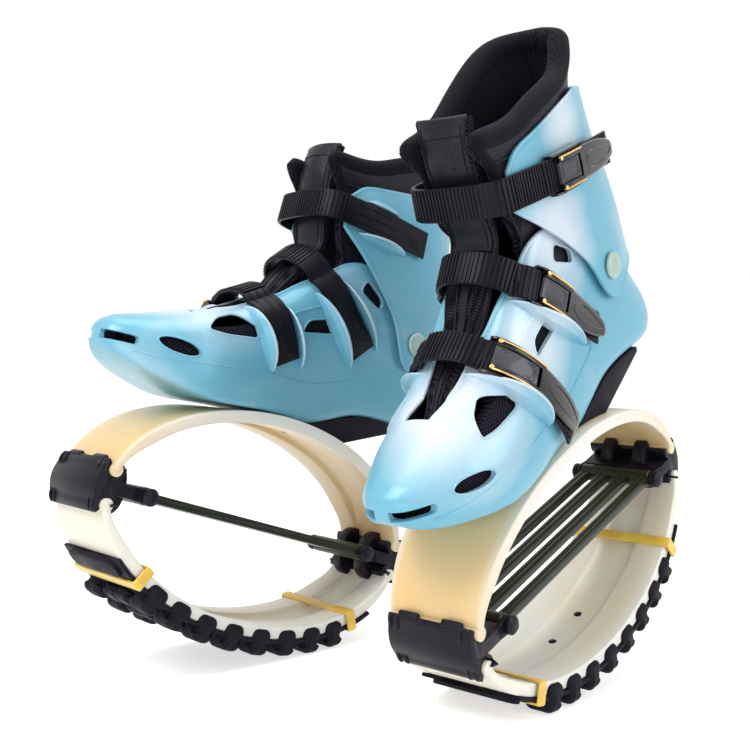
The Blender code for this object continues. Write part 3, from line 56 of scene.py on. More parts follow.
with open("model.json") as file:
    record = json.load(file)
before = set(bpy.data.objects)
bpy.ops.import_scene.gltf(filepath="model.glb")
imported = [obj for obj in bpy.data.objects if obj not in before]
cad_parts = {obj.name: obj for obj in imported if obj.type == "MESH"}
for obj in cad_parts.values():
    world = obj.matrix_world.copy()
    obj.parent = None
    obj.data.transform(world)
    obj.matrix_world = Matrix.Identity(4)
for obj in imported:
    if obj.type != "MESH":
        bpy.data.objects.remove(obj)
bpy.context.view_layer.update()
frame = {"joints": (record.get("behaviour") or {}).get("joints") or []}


# Sizes of the shoe, in metres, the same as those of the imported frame.
BOW_HALF_LENGTH = 0.154
UPPER_BOW_HEIGHT = 0.090
LOWER_BOW_HEIGHT = 0.086
BOW_THICKNESS = 0.006
UPPER_BOW_WIDTH = 0.094
LOWER_BOW_WIDTH = 0.094
BOW_END_WIDTH = 0.076
BEAD_RADIUS = 0.0052
BEAD_HEIGHT = 0.0135
TREAD_WIDTH = 0.098
TREAD_BASE = 0.003
LUG_HEIGHT = 0.0115
LUG_COUNT = 8
LUG_FIELD_ANGLE = math.radians(84.0)
TREAD_TAB_ANGLE = math.radians(48.5)
TREAD_END_ANGLE = math.radians(57.0)
TREAD_TAB_HEIGHT = 0.003
BAND_THICKNESS = 0.002
BAND_MIDDLE_ANGLE = math.radians(45.6)
BAND_SPREAD_ANGLE = math.radians(2.1)
JOINT_WIDTH = 0.072
CLAW_WALL = 0.0042
CLAW_LIP_ANGLE = math.radians(48.0)
CLAW_TURN_ANGLE = math.radians(198.0)
STEM_HALF_THICKNESS = 0.0052
FLUKE_START = 0.018
FLUKE_TIP = 0.024
FLUKE_DEPTH = 0.0145
PIN_SETBACK = 0.036
PIN_RADIUS = 0.0026
PIN_KNOB_RADIUS = 0.0070
PIN_KNOB_LENGTH = 0.0050
EAR_RADIUS = 0.0068
EAR_WIDTH = 0.0035
STRAND_COUNT = 4
STRAND_PITCH = 0.0185
STRAND_RADIUS = 0.0042
BARREL_RADIUS = 0.0072
HEEL_X = -0.181
TOE_X = 0.181
SHELL_HALF_WIDTH = 0.051
SHELL_HEIGHT = 0.150
SHELL_WALL = 0.0035
SOLE_CORNER = 0.007
WIDEST_HEIGHT = 0.026
HEEL_LEAN = 0.018
CROWN_SHIFT = 0.009
CROWN_START_SHARE = 0.164
CROWN_RISE_SHARE = 0.467
TOE_CROWN_SHARE = 0.6
ANKLE_X = -0.102
ANKLE_SHARE = 0.6707
CUFF_WALL = 0.0032
CUFF_HALF_WIDTH = 0.0425
CUFF_HEIGHT = 0.162
CUFF_FRONT_X = 0.006
CUFF_HEEL_X = -0.174
RIVET_RADIUS = 0.0105
RIVET_HEAD = 0.0035
RIVET_SHANK_SHARE = 0.45
LINER_GAP = 0.0012
LINER_WALL = 0.0075
LINER_DROP = 0.014
COLLAR_HALF_WIDTH = 0.0350
COLLAR_RISE = 0.053
TONGUE_THICKNESS = 0.005
TONGUE_HALF_WIDTH = 0.0235
STRAP_WIDTH = 0.025
STRAP_THICKNESS = 0.0026
PATH_STEPS = 60
HEADING_SHARE = 0.02
BASE_FLOOR = 0.0016
BASE_WALL = 0.0018
BASE_HEIGHT = 0.0085
BASE_LENGTH = 0.050
BASE_FALL_SHARE = 0.45
LEVER_LENGTH = 0.084
LEVER_THICKNESS = 0.0032
LEVER_ARM_WIDTH = 0.0040
TAB_LENGTH = 0.026
HINGE_INSET = 0.007
HINGE_RADIUS = 0.0016
RAMP_START_SHARE = 1.4
VENT_LENGTH_SHARE = 0.8619
VENT_SHARE = 0.1607
VENT_HALF_LENGTH_SHARE = 0.047
VENT_HALF_HEIGHT_SHARE = 0.040
VENT_SLOPE_ANGLE = math.radians(2.0)
TOE_SLOT_START_SHARE = 0.942
TOE_SLOT_SHARE = 0.1240
TOE_SLOT_HEIGHT_SHARE = 0.0440
TOE_SLOT_BRIDGE_SHARE = 0.118
THROAT_END_SHARE = 0.82
SHAPE_POWER = 3.0
CUFF_LOW_SHARE = 0.5107
CUFF_LEAN = 0.036
CUFF_FLARE = -0.006
COLLAR_LEAN = 0.027
COLLAR_REACH = 0.041
SHAFT_END_SHARE = 0.48
LINER_TOE_SHARE = 0.90
LINER_END_SHARE = 0.96
BRIM_LIP_SHARE = 0.2
BRIM_DRAW_SHARE = 0.84
BRIM_DRAW_END_SHARE = 0.528
THROAT_DRAW_SHARE = 0.96
TONGUE_BULGE = 0.004
SURFACE_GAP = 0.0020
SPACER_HALF_WIDTH = 0.036
SPACER_FRONT_X = -0.006
SPACER_BACK_X = -0.122
SPACER_LEAVE_X = -0.060
SPACER_TIP = 0.004
CLEARANCE = 0.0004
SHELL_LENGTH = TOE_X - HEEL_X
SOLE_Z = UPPER_BOW_HEIGHT + BOW_THICKNESS / 2.0 + CLEARANCE
PIN_X = BOW_HALF_LENGTH - PIN_SETBACK
VENT_X = HEEL_X + SHELL_LENGTH * VENT_LENGTH_SHARE
VENT_HALF_LENGTH = SHELL_LENGTH * VENT_HALF_LENGTH_SHARE
VENT_HALF_HEIGHT = SHELL_HEIGHT * VENT_HALF_HEIGHT_SHARE
TOE_SLOT_START = HEEL_X + SHELL_LENGTH * TOE_SLOT_START_SHARE
TOE_SLOT_BRIDGE = SHELL_HALF_WIDTH * TOE_SLOT_BRIDGE_SHARE
VENT_Z = SOLE_Z + SHELL_HEIGHT * VENT_SHARE
TOE_SLOT_Z = SOLE_Z + SHELL_HEIGHT * TOE_SLOT_SHARE
TOE_SLOT_HEIGHT = SHELL_HEIGHT * TOE_SLOT_HEIGHT_SHARE
CROWN_START_Z = SOLE_Z + SHELL_HEIGHT * CROWN_START_SHARE
CROWN_RISE = SHELL_HEIGHT * CROWN_RISE_SHARE
ANKLE_Z = SOLE_Z + SHELL_HEIGHT * ANKLE_SHARE
CUFF_LOW_Z = SOLE_Z + SHELL_HEIGHT * CUFF_LOW_SHARE
COLLAR_TOP = CUFF_LOW_Z + CUFF_HEIGHT + COLLAR_RISE
CUFF_LENGTH = CUFF_FRONT_X - CUFF_HEEL_X
BOW_END_ANGLE = math.asin((BEAD_HEIGHT + BEAD_RADIUS) / UPPER_BOW_HEIGHT)
BEAD_X = BOW_HALF_LENGTH * math.cos(math.asin(BEAD_HEIGHT / UPPER_BOW_HEIGHT))
WIDTH_SHARES = ((0.0, 0.90), (0.05, 0.90), (0.13, 0.86), (0.22, 0.80), (0.33, 0.77), (0.41, 0.785),
                (0.50, 0.83), (0.58, 0.905), (0.66, 0.99), (0.75, 1.045), (0.82, 1.03), (0.90, 0.95),
                (0.96, 0.86), (1.0, 0.80))
SOLE_SHARES = ((0.0, 0.25), (0.012, 0.21), (0.03, 0.185), (0.06, 0.172), (0.10, 0.17), (0.235, 0.17),
               (0.32, 0.14), (0.405, 0.057), (0.455, 0.012), (0.50, 0.0), (0.55, 0.0), (0.605, -0.01),
               (0.66, -0.027), (0.725, -0.047), (0.775, -0.05), (0.855, -0.028), (0.93, 0.004),
               (0.967, 0.035), (0.985, 0.062), (0.995, 0.085), (1.0, 0.105))
TOP_SHARES = ((0.0, 0.81), (0.11, 0.85), (0.22, 0.905), (0.33, 0.97), (0.415, 1.0), (0.47, 0.96),
              (0.51, 0.873), (0.58, 0.74), (0.62, 0.653), (0.66, 0.587), (0.728, 0.48), (0.789, 0.424),
              (0.82, 0.40), (0.885, 0.33), (0.943, 0.273), (0.967, 0.25), (0.983, 0.226), (0.995, 0.20),
              (1.0, 0.175))
THROAT_SHARES = ((0.0, 0.94), (0.33, 0.935), (0.415, 0.90), (0.47, 0.78), (0.51, 0.68), (0.58, 0.52),
                 (0.66, 0.38), (0.728, 0.295), (0.789, 0.22), (0.808, 0.14), (0.82, 0.0), (1.0, 0.0))
HEEL_LEAN_SHARES = ((0.0, 0.80), (0.10, 0.28), (0.22, 0.04), (0.30, 0.0), (0.40, 0.16), (0.52, 0.60),
                    (0.62, 0.84), (1.0, 1.0))
REAR_WINDOW_SHARES = ((0.572, 0.464), (0.561, 0.551), (0.489, 0.617), (0.467, 0.537))
CUFF_WIDTH_SHARES = ((0.0, 0.0), (0.012, 0.22), (0.045, 0.45), (0.10, 0.655), (0.18, 0.82),
                     (0.30, 0.935), (0.45, 0.985), (0.62, 1.0), (0.80, 1.0), (0.92, 0.96), (1.0, 0.90))
CUFF_LOW_SHARES = ((0.0, 0.12), (0.10, 0.12), (0.25, 0.06), (0.38, 0.0), (0.46, 0.035), (0.56, 0.22),
                   (0.70, 0.36), (0.85, 0.485), (0.95, 0.56), (1.0, 0.60))
CUFF_HIGH_SHARES = ((0.0, 0.985), (0.25, 1.0), (0.45, 0.975), (0.60, 0.945), (0.80, 0.89), (0.94, 0.84),
                    (1.0, 0.77))
CUFF_HEEL_SHARES = ((0.0, 0.0), (0.12, 0.0), (0.24, 0.07), (0.39, 0.18), (0.57, 0.42), (0.71, 0.70),
                    (1.0, 1.0))
COLLAR_WIDTH_SHARES = ((0.0, 0.0), (0.008, 0.25), (0.028, 0.44), (0.06, 0.62), (0.10, 0.78), (0.16, 0.91),
                       (0.23, 1.0), (0.37, 1.0), (0.43, 0.97), (0.48, 0.92))
COLLAR_ROUND_SHARES = ((0.0, 0.0), (0.008, 0.42), (0.028, 0.66), (0.06, 0.84), (0.10, 0.95), (0.16, 1.03),
                       (0.23, 1.06), (0.37, 1.06), (0.43, 1.08), (0.48, 1.10))
COLLAR_REACH_POWER = 1.6
COLLAR_ROUND_START_SHARE = 0.58
COLLAR_ROUND_SPAN_SHARE = 0.36
COLLAR_FRONT_SHARES = ((0.0, 0.0), (0.06, 0.18), (0.13, 0.33), (0.26, 0.44), (0.37, 0.48), (0.43, 0.55),
                       (0.50, 0.80), (0.64, 1.0), (1.0, 1.0))
COLLAR_LEAN_SHARES = ((0.0, 0.0), (0.05, 0.04), (0.31, 0.46), (0.626, 0.87), (0.89, 1.0), (1.0, 1.0))
TONGUE_PATH_SHARES = ((0.83, 0.348), (0.785, 0.378), (0.735, 0.475), (0.685, 0.54), (0.63, 0.645),
                      (0.60, 0.76), (0.565, 0.90), (0.535, 1.03), (0.545, 1.16), (0.555, 1.31),
                      (0.562, 1.46), (0.560, 1.63))
TONGUE_WIDTH_SHARES = ((0.0, 0.185), (0.09, 0.28), (0.18, 0.42), (0.27, 0.52), (0.36, 0.67),
                       (0.45, 0.77), (0.55, 0.835), (0.80, 0.84), (0.91, 0.93), (1.0, 1.0))
STRAP_SHARES = {
    "toe": {"top": (0.688, 0.621), "fall": (-0.55, -0.835), "bend": 2.0,
            "inboard": 0.413, "outboard": 0.654, "buckle": 0.2},
    "instep": {"top": (0.585, 0.931), "fall": (-0.76, -0.65), "bend": 2.0,
               "inboard": 0.666, "outboard": 0.787, "buckle": 0.348},
    "cuff": {"top": (0.580, 0.682), "fall": (-0.995, 0.020), "bend": 3.0,
             "inboard": 0.746, "outboard": 0.999, "buckle": 0.586},
}
LEVER_WIDTH_SHARES = ((0.0, 0.98), (0.3, 1.0), (0.55, 1.0), (0.75, 0.90), (0.90, 0.66), (1.0, 0.34))

# Sizes that only the finished looks need, in metres.
WELD = 0.000002
SHARP_ANGLE = math.radians(38.0)
FLAT_ANGLE = math.radians(0.6)
RIM_ANGLE = math.radians(30.0)
STEP_ANGLE = math.radians(0.5)
EDGE_ROUND = 0.0010
BOW_STEPS = 110
BOW_RIM_HEIGHT = 0.004
CHANNEL_SHARE = 0.33
CHANNEL_SLOPE = 0.003
BOW_EDGE_RADIUS = 0.0016
STUD_ANGLES = (math.radians(-8.0), math.radians(8.0))
STUD_RADIUS = 0.0034
TAB_CHAMFER = 0.010
TAB_WIDTH_SHARE = 0.86
LUG_WIDTH = 0.026
LUG_EAR = 0.0050
LUG_OVERHANG = 0.0020
SHELL_STEPS = 150
WINDOW_ROUND = 0.0060
RIM_BEAD = 0.0008
PARTING_SHARES = ((0.36, 0.34), (0.40, 0.30), (0.50, 0.22), (0.66, 0.18), (0.75, 0.14), (0.86, 0.09), (0.95, 0.07))
SWEEP_SHARES = ((0.44, 0.86), (0.50, 0.70), (0.56, 0.62), (0.64, 0.50), (0.70, 0.44))
GUARD_THICKNESS = 0.0020
GUARD_ROOT = 0.0020
GUARD_GAP = 0.0030
GUARD_LEAN = 0.0050
GUARD_BOW = 0.0040
GUARD_TIP = 0.0008
GUARD_RIM = 0.0013
GUARDS = {
    "boot": (("toe", -1.0, 1.0, 0.07, 0.44, 0.0110), ("toe", -1.0, -1.0, 0.12, 0.49, 0.0105),
             ("instep", -1.0, 1.0, 0.20, 0.71, 0.0120), ("instep", -1.0, -1.0, 0.24, 0.72, 0.0125),
             ("toe", 1.0, 1.0, 0.06, 0.46, 0.0130), ("toe", 1.0, -1.0, 0.16, 0.40, 0.0060),
             ("instep", 1.0, 1.0, 0.15, 0.74, 0.0130), ("instep", 1.0, -1.0, 0.26, 0.62, 0.0070)),
    "cuff": (("cuff", -1.0, 1.0, 0.24, 0.62, 0.0095), ("cuff", -1.0, -1.0, 0.26, 0.50, 0.0060)),
}
CUFF_STEPS = 60
CUFF_FINE_ROWS = 30
LINER_STEPS = 60
LINER_ROWS = 12
SHAFT_ROWS = 34
COLLAR_BAND_ROWS = 7
COLLAR_EDGE_ROWS = 14
COLLAR_ROLL = 0.0084
BAND_PUFF = 0.0020
PIPING_RADIUS = 0.0009
TONGUE_PATCH_SHARE = 0.62
TONGUE_PUFF = 0.0045
PUFF_FROM_Z = SOLE_Z + SHELL_HEIGHT * 1.345
PUFF_RISE = SHELL_HEIGHT * 0.30
STRAP_FINE_STEPS = 150
TOOTH_HEIGHT = 0.0009
LADDER_START_SHARES = {"toe": -0.045, "instep": -0.060, "cuff": -0.150}
CHEVRON_START_SHARE = 0.020
CHEVRON_STEP_SHARE = 0.012
CHEVRON_DEPTH = 0.0060
LEAF_CENTRE_SHARE = 0.66
LEAF_LENGTH_SHARE = 0.25
LEAF_WIDTH_SHARE = 0.66
RIM_SHARES = ((0.0, 0.995), (0.06, 0.995), (0.10, 0.990), (0.16, 0.975), (0.23, 0.950), (0.30, 0.920),
              (0.37, 0.885), (0.43, 0.868), (0.48, 0.862))
RIM_DROP_SHARES = ((0.0, 0.0), (0.03, 0.018), (0.06, 0.040), (0.10, 0.060), (0.16, 0.060), (0.23, 0.046),
                   (0.30, 0.030), (0.37, 0.016), (0.43, 0.006), (0.48, 0.0))
PEARL_LILAC = (0.80, 0.79, 0.93)
# Painted highlights on the pearl plastic: centres and reaches of white patches that stand in for the lamps' shine on
# the toe's crown and the cuff's flank.
PAINTED_HIGHLIGHT_PATCHES = (((0.108, 0.006, 0.160), 0.072), ((-0.030, 0.046, 0.232), 0.058), ((-0.070, 0.044, 0.318), 0.040),
                 ((0.022, 0.034, 0.172), 0.046))
NOSE_BULGE = 0.0032
FLUKE_PLATES = ((-0.56, -0.26), (0.26, 0.56))

DROP_WINDOW_SHARES = ((0.809, 0.296), (0.788, 0.378), (0.738, 0.443), (0.682, 0.397), (0.683, 0.342), (0.760, 0.302))
TALL_WINDOW_SHARES = ((0.424, 0.838), (0.408, 0.928), (0.342, 0.850), (0.345, 0.775))
THROAT_END_CORNERS = ((0.768, -0.0125), (0.800, -0.0155), (0.825, -0.0180), (0.823, 0.0068), (0.768, 0.0118))
THROAT_END_ROUND = 0.0022
THROAT_CUT_DEPTH = 0.012

# The photograph's camera and the studio.
PHOTO_WIDTH = 750.0
FOCAL_PIXELS = 1100.0
SENSOR_WIDTH = 36.0
CAMERA_TURN = math.radians(-226.25)
CAMERA_PLACE = (0.0, -1.350, 0.0365)
CAMERA_TARGET = (0.01425, -0.4433, -0.11615)
CAMERA_DIP = math.radians(1.55)
CAMERA_ROLL = math.radians(1.19)
FLOOR_REACH = 6.0
FLOOR_COLOUR = (0.86, 0.86, 0.86)
FLOOR_GLOW = 0.62
LAMP_AIM_HEIGHT = 0.05
LAMPS = (
    ("key_lamp", (-0.90, -0.90, 1.30), (0.90, 0.90), 15.0),
    ("fill_lamp", (1.30, -0.70, 0.70), (0.90, 1.20), 9.0),
    ("top_lamp", (0.0, 0.20, 1.60), (1.40, 1.00), 11.0),
    ("low_lamp", (-0.50, -1.40, 0.10), (0.90, 0.40), 3.0),
)


def smooth_step(value):
    value = min(max(value, 0.0), 1.0)
    return value * value * (3.0 - 2.0 * value)


def read_table(table, where):
    """Reads a smooth curve through a table of (place, value) pairs in rising order of place."""
    places = [row[0] for row in table]
    values = [row[1] for row in table]
    if where <= places[0]:
        return values[0]
    if where >= places[-1]:
        return values[-1]
    spot = max(k for k in range(len(places) - 1) if places[k] <= where)
    slopes = []
    for k in (spot, spot + 1):
        low = max(k - 1, 0)
        high = min(k + 1, len(places) - 1)
        slopes.append((values[high] - values[low]) / (places[high] - places[low]))
    span = places[spot + 1] - places[spot]
    t = (where - places[spot]) / span
    h00 = 2.0 * t ** 3 - 3.0 * t ** 2 + 1.0
    h10 = t ** 3 - 2.0 * t ** 2 + t
    h01 = -2.0 * t ** 3 + 3.0 * t ** 2
    h11 = t ** 3 - t ** 2
    return h00 * values[spot] + h10 * span * slopes[0] + h01 * values[spot + 1] + h11 * span * slopes[1]


def lean_in(x, y, z):
    """Moves a point of the boot inboard by what its height asks for."""
    toe = smooth_step((x - TOE_X / 2.0) / (TOE_X / 2.0))
    shift = CROWN_SHIFT * smooth_step((z - CROWN_START_Z) / CROWN_RISE)
    return Vector((x, y - shift * (1.0 - (1.0 - TOE_CROWN_SHARE) * toe), z))


def arc_points(centre, radius, start, end, steps):
    """Points (x, z) on an arc, both ends included."""
    found = []
    for k in range(steps + 1):
        angle = start + (end - start) * k / steps
        found.append((centre[0] + radius * math.cos(angle), centre[1] + radius * math.sin(angle)))
    return found


def bow_point(angle, offset, y, height, sign):
    """A point at offset outside the middle line of a bow, at angle round from the toe end."""
    normal = Vector((math.cos(angle) / BOW_HALF_LENGTH, math.sin(angle) / height)).normalized()
    x = BOW_HALF_LENGTH * math.cos(angle) + normal.x * offset
    z = height * math.sin(angle) + normal.y * offset
    return Vector((x, y, sign * z))


def bow_half_width(angle, middle_width):
    return (BOW_END_WIDTH + (middle_width - BOW_END_WIDTH) * math.sin(angle) ** 1.5) / 2.0


def boot_place(length_share, height_share):
    """A place (x, z) on the boot's side view, from the heel and the sole."""
    return HEEL_X + SHELL_LENGTH * length_share, SOLE_Z + SHELL_HEIGHT * height_share


def shell_share(x):
    return (x - HEEL_X) / SHELL_LENGTH


def plan_half_width(share):
    """Half the shell's greatest width at a share of its length, rounded at both ends."""
    place = 2.0 * share - 1.0
    rounded = max(0.0, 1.0 - abs(place) ** SHAPE_POWER) ** (1.0 / SHAPE_POWER)
    return SHELL_HALF_WIDTH * rounded * read_table(WIDTH_SHARES, share)


def sole_z(share):
    return SOLE_Z + SHELL_HEIGHT * read_table(SOLE_SHARES, share)


def top_z(share):
    return SOLE_Z + SHELL_HEIGHT * read_table(TOP_SHARES, share)


def side_y(share, z):
    """The shell's half width at a share of its length and a height."""
    widest = plan_half_width(share)
    low = sole_z(share)
    high = top_z(share)
    middle = low + min(WIDEST_HEIGHT, (high - low) * 0.45)
    if z < middle:
        drop = (middle - z) / (middle - low)
        corner = min(SOLE_CORNER, widest * 0.5)
        return widest - corner + corner * max(0.0, 1.0 - drop ** 2.4) ** (1.0 / 2.4)
    edge = widest * read_table(THROAT_SHARES, share)
    rise = min((z - middle) / (high - middle), 1.0)
    power = 0.5 + 0.5 * smooth_step((0.50 - share) / 0.12)
    return edge + (widest - edge) * max(0.0, 1.0 - rise ** 2.2) ** power


def heel_shift(share, z):
    """How far the heel's outline stands in from its furthest point at a height."""
    lean = read_table(HEEL_LEAN_SHARES, (z - SOLE_Z) / SHELL_HEIGHT)
    return HEEL_LEAN * lean * smooth_step((0.40 - share) / 0.40)


def section_point(share, z, skin):
    """A point (x, half width, z) at a depth of skin inside the shell's outer form."""
    inset_share = 0.5 + (share - 0.5) * (1.0 - 2.0 * skin / SHELL_LENGTH)
    reach = side_y(share, min(max(z, sole_z(share)), top_z(share)))
    y = max(reach - skin * min(1.0, reach / SHELL_HALF_WIDTH * 3.0), 0.0)
    x = HEEL_X + SHELL_LENGTH * inset_share + heel_shift(share, min(z, SOLE_Z + SHELL_HEIGHT))
    return x, y, z


def closed_row(half):
    """A row from one top edge round the sole to the other, from one half's points sole to top."""
    right = [lean_in(x, y, z) for x, y, z in reversed(half)]
    middle = [lean_in(half[0][0], 0.0, half[0][2])]
    left = [lean_in(x, -y, z) for x, y, z in half]
    return right + middle + left


def cuff_place(share, height_share):
    """A point (x, half width, z) on the cuff's outside."""
    low = read_table(CUFF_LOW_SHARES, share)
    high = read_table(CUFF_HIGH_SHARES, share)
    level = low + (high - low) * height_share
    z = CUFF_LOW_Z + CUFF_HEIGHT * level
    lean = CUFF_LEAN * read_table(CUFF_HEEL_SHARES, level) * smooth_step((0.75 - share) / 0.75)
    y = CUFF_HALF_WIDTH * read_table(CUFF_WIDTH_SHARES, share)
    y += CUFF_FLARE * level * smooth_step(share / 0.2)
    return CUFF_HEEL_X + CUFF_LENGTH * share + lean, y, z


def buckle_start(strap):
    """How far along a strap from its top centre its buckle begins."""
    return SHELL_HEIGHT * STRAP_SHARES[strap]["buckle"]


def strap_top(strap):
    """The place (x, z) where a strap crosses the middle of the boot's front."""
    length_share, height_share = STRAP_SHARES[strap]["top"]
    x, z = boot_place(length_share, height_share)
    return (x, CUFF_LOW_Z + CUFF_HEIGHT * height_share) if strap == "cuff" else (x, z)


def outside_y(strap, x, z):
    """Half width of what a strap lies on at a place: the shell, or the cuff for the cuff strap."""
    if strap == "cuff":
        share = min(max((x - CUFF_HEEL_X) / CUFF_LENGTH, 0.0), 1.0)
        level = (z - CUFF_LOW_Z) / CUFF_HEIGHT
        y = CUFF_HALF_WIDTH * read_table(CUFF_WIDTH_SHARES, share) + CUFF_WALL + CLEARANCE
        return y + CUFF_FLARE * level * smooth_step(share / 0.2)
    share = shell_share(x)
    return side_y(share, min(z, top_z(share)))


def strap_line(strap, offset, sign):
    """Dense points from the top centre down one side, for an offset across the strap's width."""
    spec = STRAP_SHARES[strap]
    fall = Vector(spec["fall"]).normalized()
    across = Vector((-fall.y, fall.x))
    start = Vector(strap_top(strap)) + across * offset
    length = SHELL_HEIGHT * (spec["inboard"] if sign < 0.0 else spec["outboard"])
    steps = PATH_STEPS
    edge = None
    found = []
    for k in range(steps * 2):
        q = length * k / (steps * 2 - 1.0)
        x, z = start + fall * q
        if strap == "cuff":
            on_side = x <= CUFF_FRONT_X
        else:
            on_side = z <= top_z(shell_share(x))
        if on_side:
            edge = q
            edge_y = outside_y(strap, x, z)
            break
    for k in range(steps + 1):
        q = length * k / steps
        x, z = start + fall * q
        if q < edge:
            y = edge_y * max(0.0, 1.0 - (1.0 - q / edge) ** spec["bend"]) ** (1.0 / spec["bend"])
        else:
            y = outside_y(strap, x, z)
        found.append(Vector((x, sign * y, z)))
    return found


def strap_lines(strap):
    """Three lines along a strap, from its inboard end over the top to its outboard end, by length."""
    lines = []
    for offset in (-STRAP_WIDTH / 2.0, 0.0, STRAP_WIDTH / 2.0):
        inboard = strap_line(strap, offset, -1.0)
        outboard = strap_line(strap, offset, 1.0)
        points = list(reversed(inboard)) + outboard[1:]
        zero = len(inboard) - 1
        lengths = [0.0]
        for k in range(1, len(points)):
            lengths.append(lengths[-1] + (points[k] - points[k - 1]).length)
        lengths = [value - lengths[zero] for value in lengths]
        lines.append((points, lengths))
    return lines


def line_point(line, share):
    """The point at a share of a line's length, with 0 at the top centre and 1 at the outboard end."""
    points, lengths = line
    want = share * (lengths[-1] if share > 0.0 else -lengths[0])
    for k in range(1, len(points)):
        if lengths[k] >= want:
            t = (want - lengths[k - 1]) / (lengths[k] - lengths[k - 1])
            return points[k - 1].lerp(points[k], min(max(t, 0.0), 1.0))
    return points[-1].copy()


def strap_point(strap, along, across, lift):
    """A place on a strap's path: metres along from the top centre, across its width, and off the boot."""
    lines = LINES[strap]
    centre = lines[1]
    limit = centre[1][-1] if along > 0.0 else -centre[1][0]
    share = along / limit
    over = 0.0
    if abs(share) > 1.0:
        over = along - math.copysign(limit, along)
        share = math.copysign(1.0, share)
    low, middle, high = (line_point(line, share) for line in lines)
    t = across / (STRAP_WIDTH / 2.0)
    place = middle + (high - low) * (t / 2.0) + (high + low - 2.0 * middle) * (t * t / 2.0)
    behind = line_point(centre, max(share - HEADING_SHARE, -1.0))
    ahead = line_point(centre, min(share + HEADING_SHARE, 1.0))
    forward = (ahead - behind).normalized()
    side = (high - low).normalized()
    normal = side.cross(forward).normalized()
    return lean_in(*(place + forward * over + normal * lift))


def strap_lift(strap, along):
    """How high the strap runs: on the boot, or over the buckle's floor."""
    raised = smooth_step((along - buckle_start(strap)) / HINGE_INSET + RAMP_START_SHARE)
    return (BASE_FLOOR + CLEARANCE) * raised


def lever_floor():
    """How far off the boot a lever's underside runs."""
    return SURFACE_GAP + BASE_FLOOR + STRAP_THICKNESS + 4.0 * CLEARANCE


LINES = {strap: strap_lines(strap) for strap in STRAP_SHARES}

SIDES = ("left", "right")
ORIGIN = Vector((0.0, 0.0, 0.0))


def joint_of(name):
    return next(joint for joint in frame["joints"] if joint["name"] == name)


def shoe_matrix(side):
    """A shoe's place, from the axis that its bows work along and its ankle's axis."""
    up = Vector(joint_of(f"{side}_rebound")["axis"]).normalized()
    flex = joint_of(f"{side}_ankle_flex")
    outward = Vector(flex["axis"]).normalized()
    ahead = outward.cross(up).normalized()
    flip = -1.0 if side == "right" else 1.0
    turn = Matrix((ahead, outward * flip, up)).transposed()
    place = Vector(flex["pos_m"]) - turn @ Vector((ANKLE_X, 0.0, ANKLE_Z))
    return Matrix.Translation(place) @ turn.to_4x4()


SHOES = {side: shoe_matrix(side) for side in SIDES}


def body_name(side, key):
    return key if key == "ground" else f"{side}_{key}"


# Outlines and skins
def spread(first, last, steps):
    return [first + (last - first) * k / steps for k in range(steps + 1)]


def eased(steps):
    """Shares from 0 to 1 that crowd at both ends."""
    return [0.5 - 0.5 * math.cos(math.pi * k / steps) for k in range(steps + 1)]


def rounded(corners, radius, steps=3):
    """A closed outline of 2-D corners, each turned into a small curve."""
    found = []
    count = len(corners)
    for k in range(count):
        here = Vector(corners[k])
        back = Vector(corners[k - 1]) - here
        ahead = Vector(corners[(k + 1) % count]) - here
        cut = min(radius, back.length * 0.49, ahead.length * 0.49)
        start = here + back.normalized() * cut
        end = here + ahead.normalized() * cut
        for j in range(steps + 1):
            t = j / steps
            found.append(start.lerp(here, t).lerp(here.lerp(end, t), t))
    return found


def skin(rings, caps=True, loop=False):
    """Points and faces over a row of closed rings with equal counts."""
    count = len(rings[0])
    points = [point for ring in rings for point in ring]
    rows = len(rings)
    faces = []
    for row in range(rows if loop else rows - 1):
        over = (row + 1) % rows
        for k in range(count):
            step = (k + 1) % count
            faces.append((row * count + k, row * count + step, over * count + step, over * count + k))
    if caps and not loop:
        faces.append(tuple(range(count)))
        faces.append(tuple((rows - 1) * count + k for k in range(count)))
    return points, faces


def slab(outer, inner, ends_open=True):
    """Points and faces of a closed body between an outer and an inner grid."""
    rows = len(outer)
    count = len(outer[0])
    points = [point for row in outer for point in row] + [point for row in inner for point in row]
    shift = rows * count
    faces = []
    for row in range(rows - 1):
        for k in range(count - 1):
            a = row * count + k
            faces.append((a, a + 1, a + count + 1, a + count))
            faces.append((shift + a, shift + a + count, shift + a + count + 1, shift + a + 1))
        first = row * count
        last = first + count - 1
        if all((points[first + n] - points[last + n]).length < WELD for n in (0, count)):
            continue
        for a in (first, last):
            faces.append((a, a + count, shift + a + count, shift + a))
    if ends_open:
        for row in (0, rows - 1):
            for k in range(count - 1):
                a = row * count + k
                faces.append((a, a + 1, shift + a + 1, shift + a))
    return points, faces


def bead(path, radius, sides=8, closed=False, flat=1.0, taper=False):
    """Points and faces of a round bead along a path; flat squeezes it and taper thins its ends."""
    count = len(path)
    rings = []
    normal = None
    for k, point in enumerate(path):
        if closed:
            along = (path[(k + 1) % count] - path[k - 1]).normalized()
        else:
            along = (path[min(k + 1, count - 1)] - path[max(k - 1, 0)]).normalized()
        if normal is None:
            normal = along.orthogonal().normalized()
        normal = (normal - along * normal.dot(along)).normalized()
        other = along.cross(normal)
        reach = radius
        if taper:
            reach *= max(0.05, math.sin(math.pi * (k + 0.5) / count)) ** 0.5
        ring = []
        for j in range(sides):
            turn = 2.0 * math.pi * j / sides
            ring.append(point + normal * reach * math.cos(turn) + other * reach * flat * math.sin(turn))
        rings.append(ring)
    return skin(rings, loop=closed)


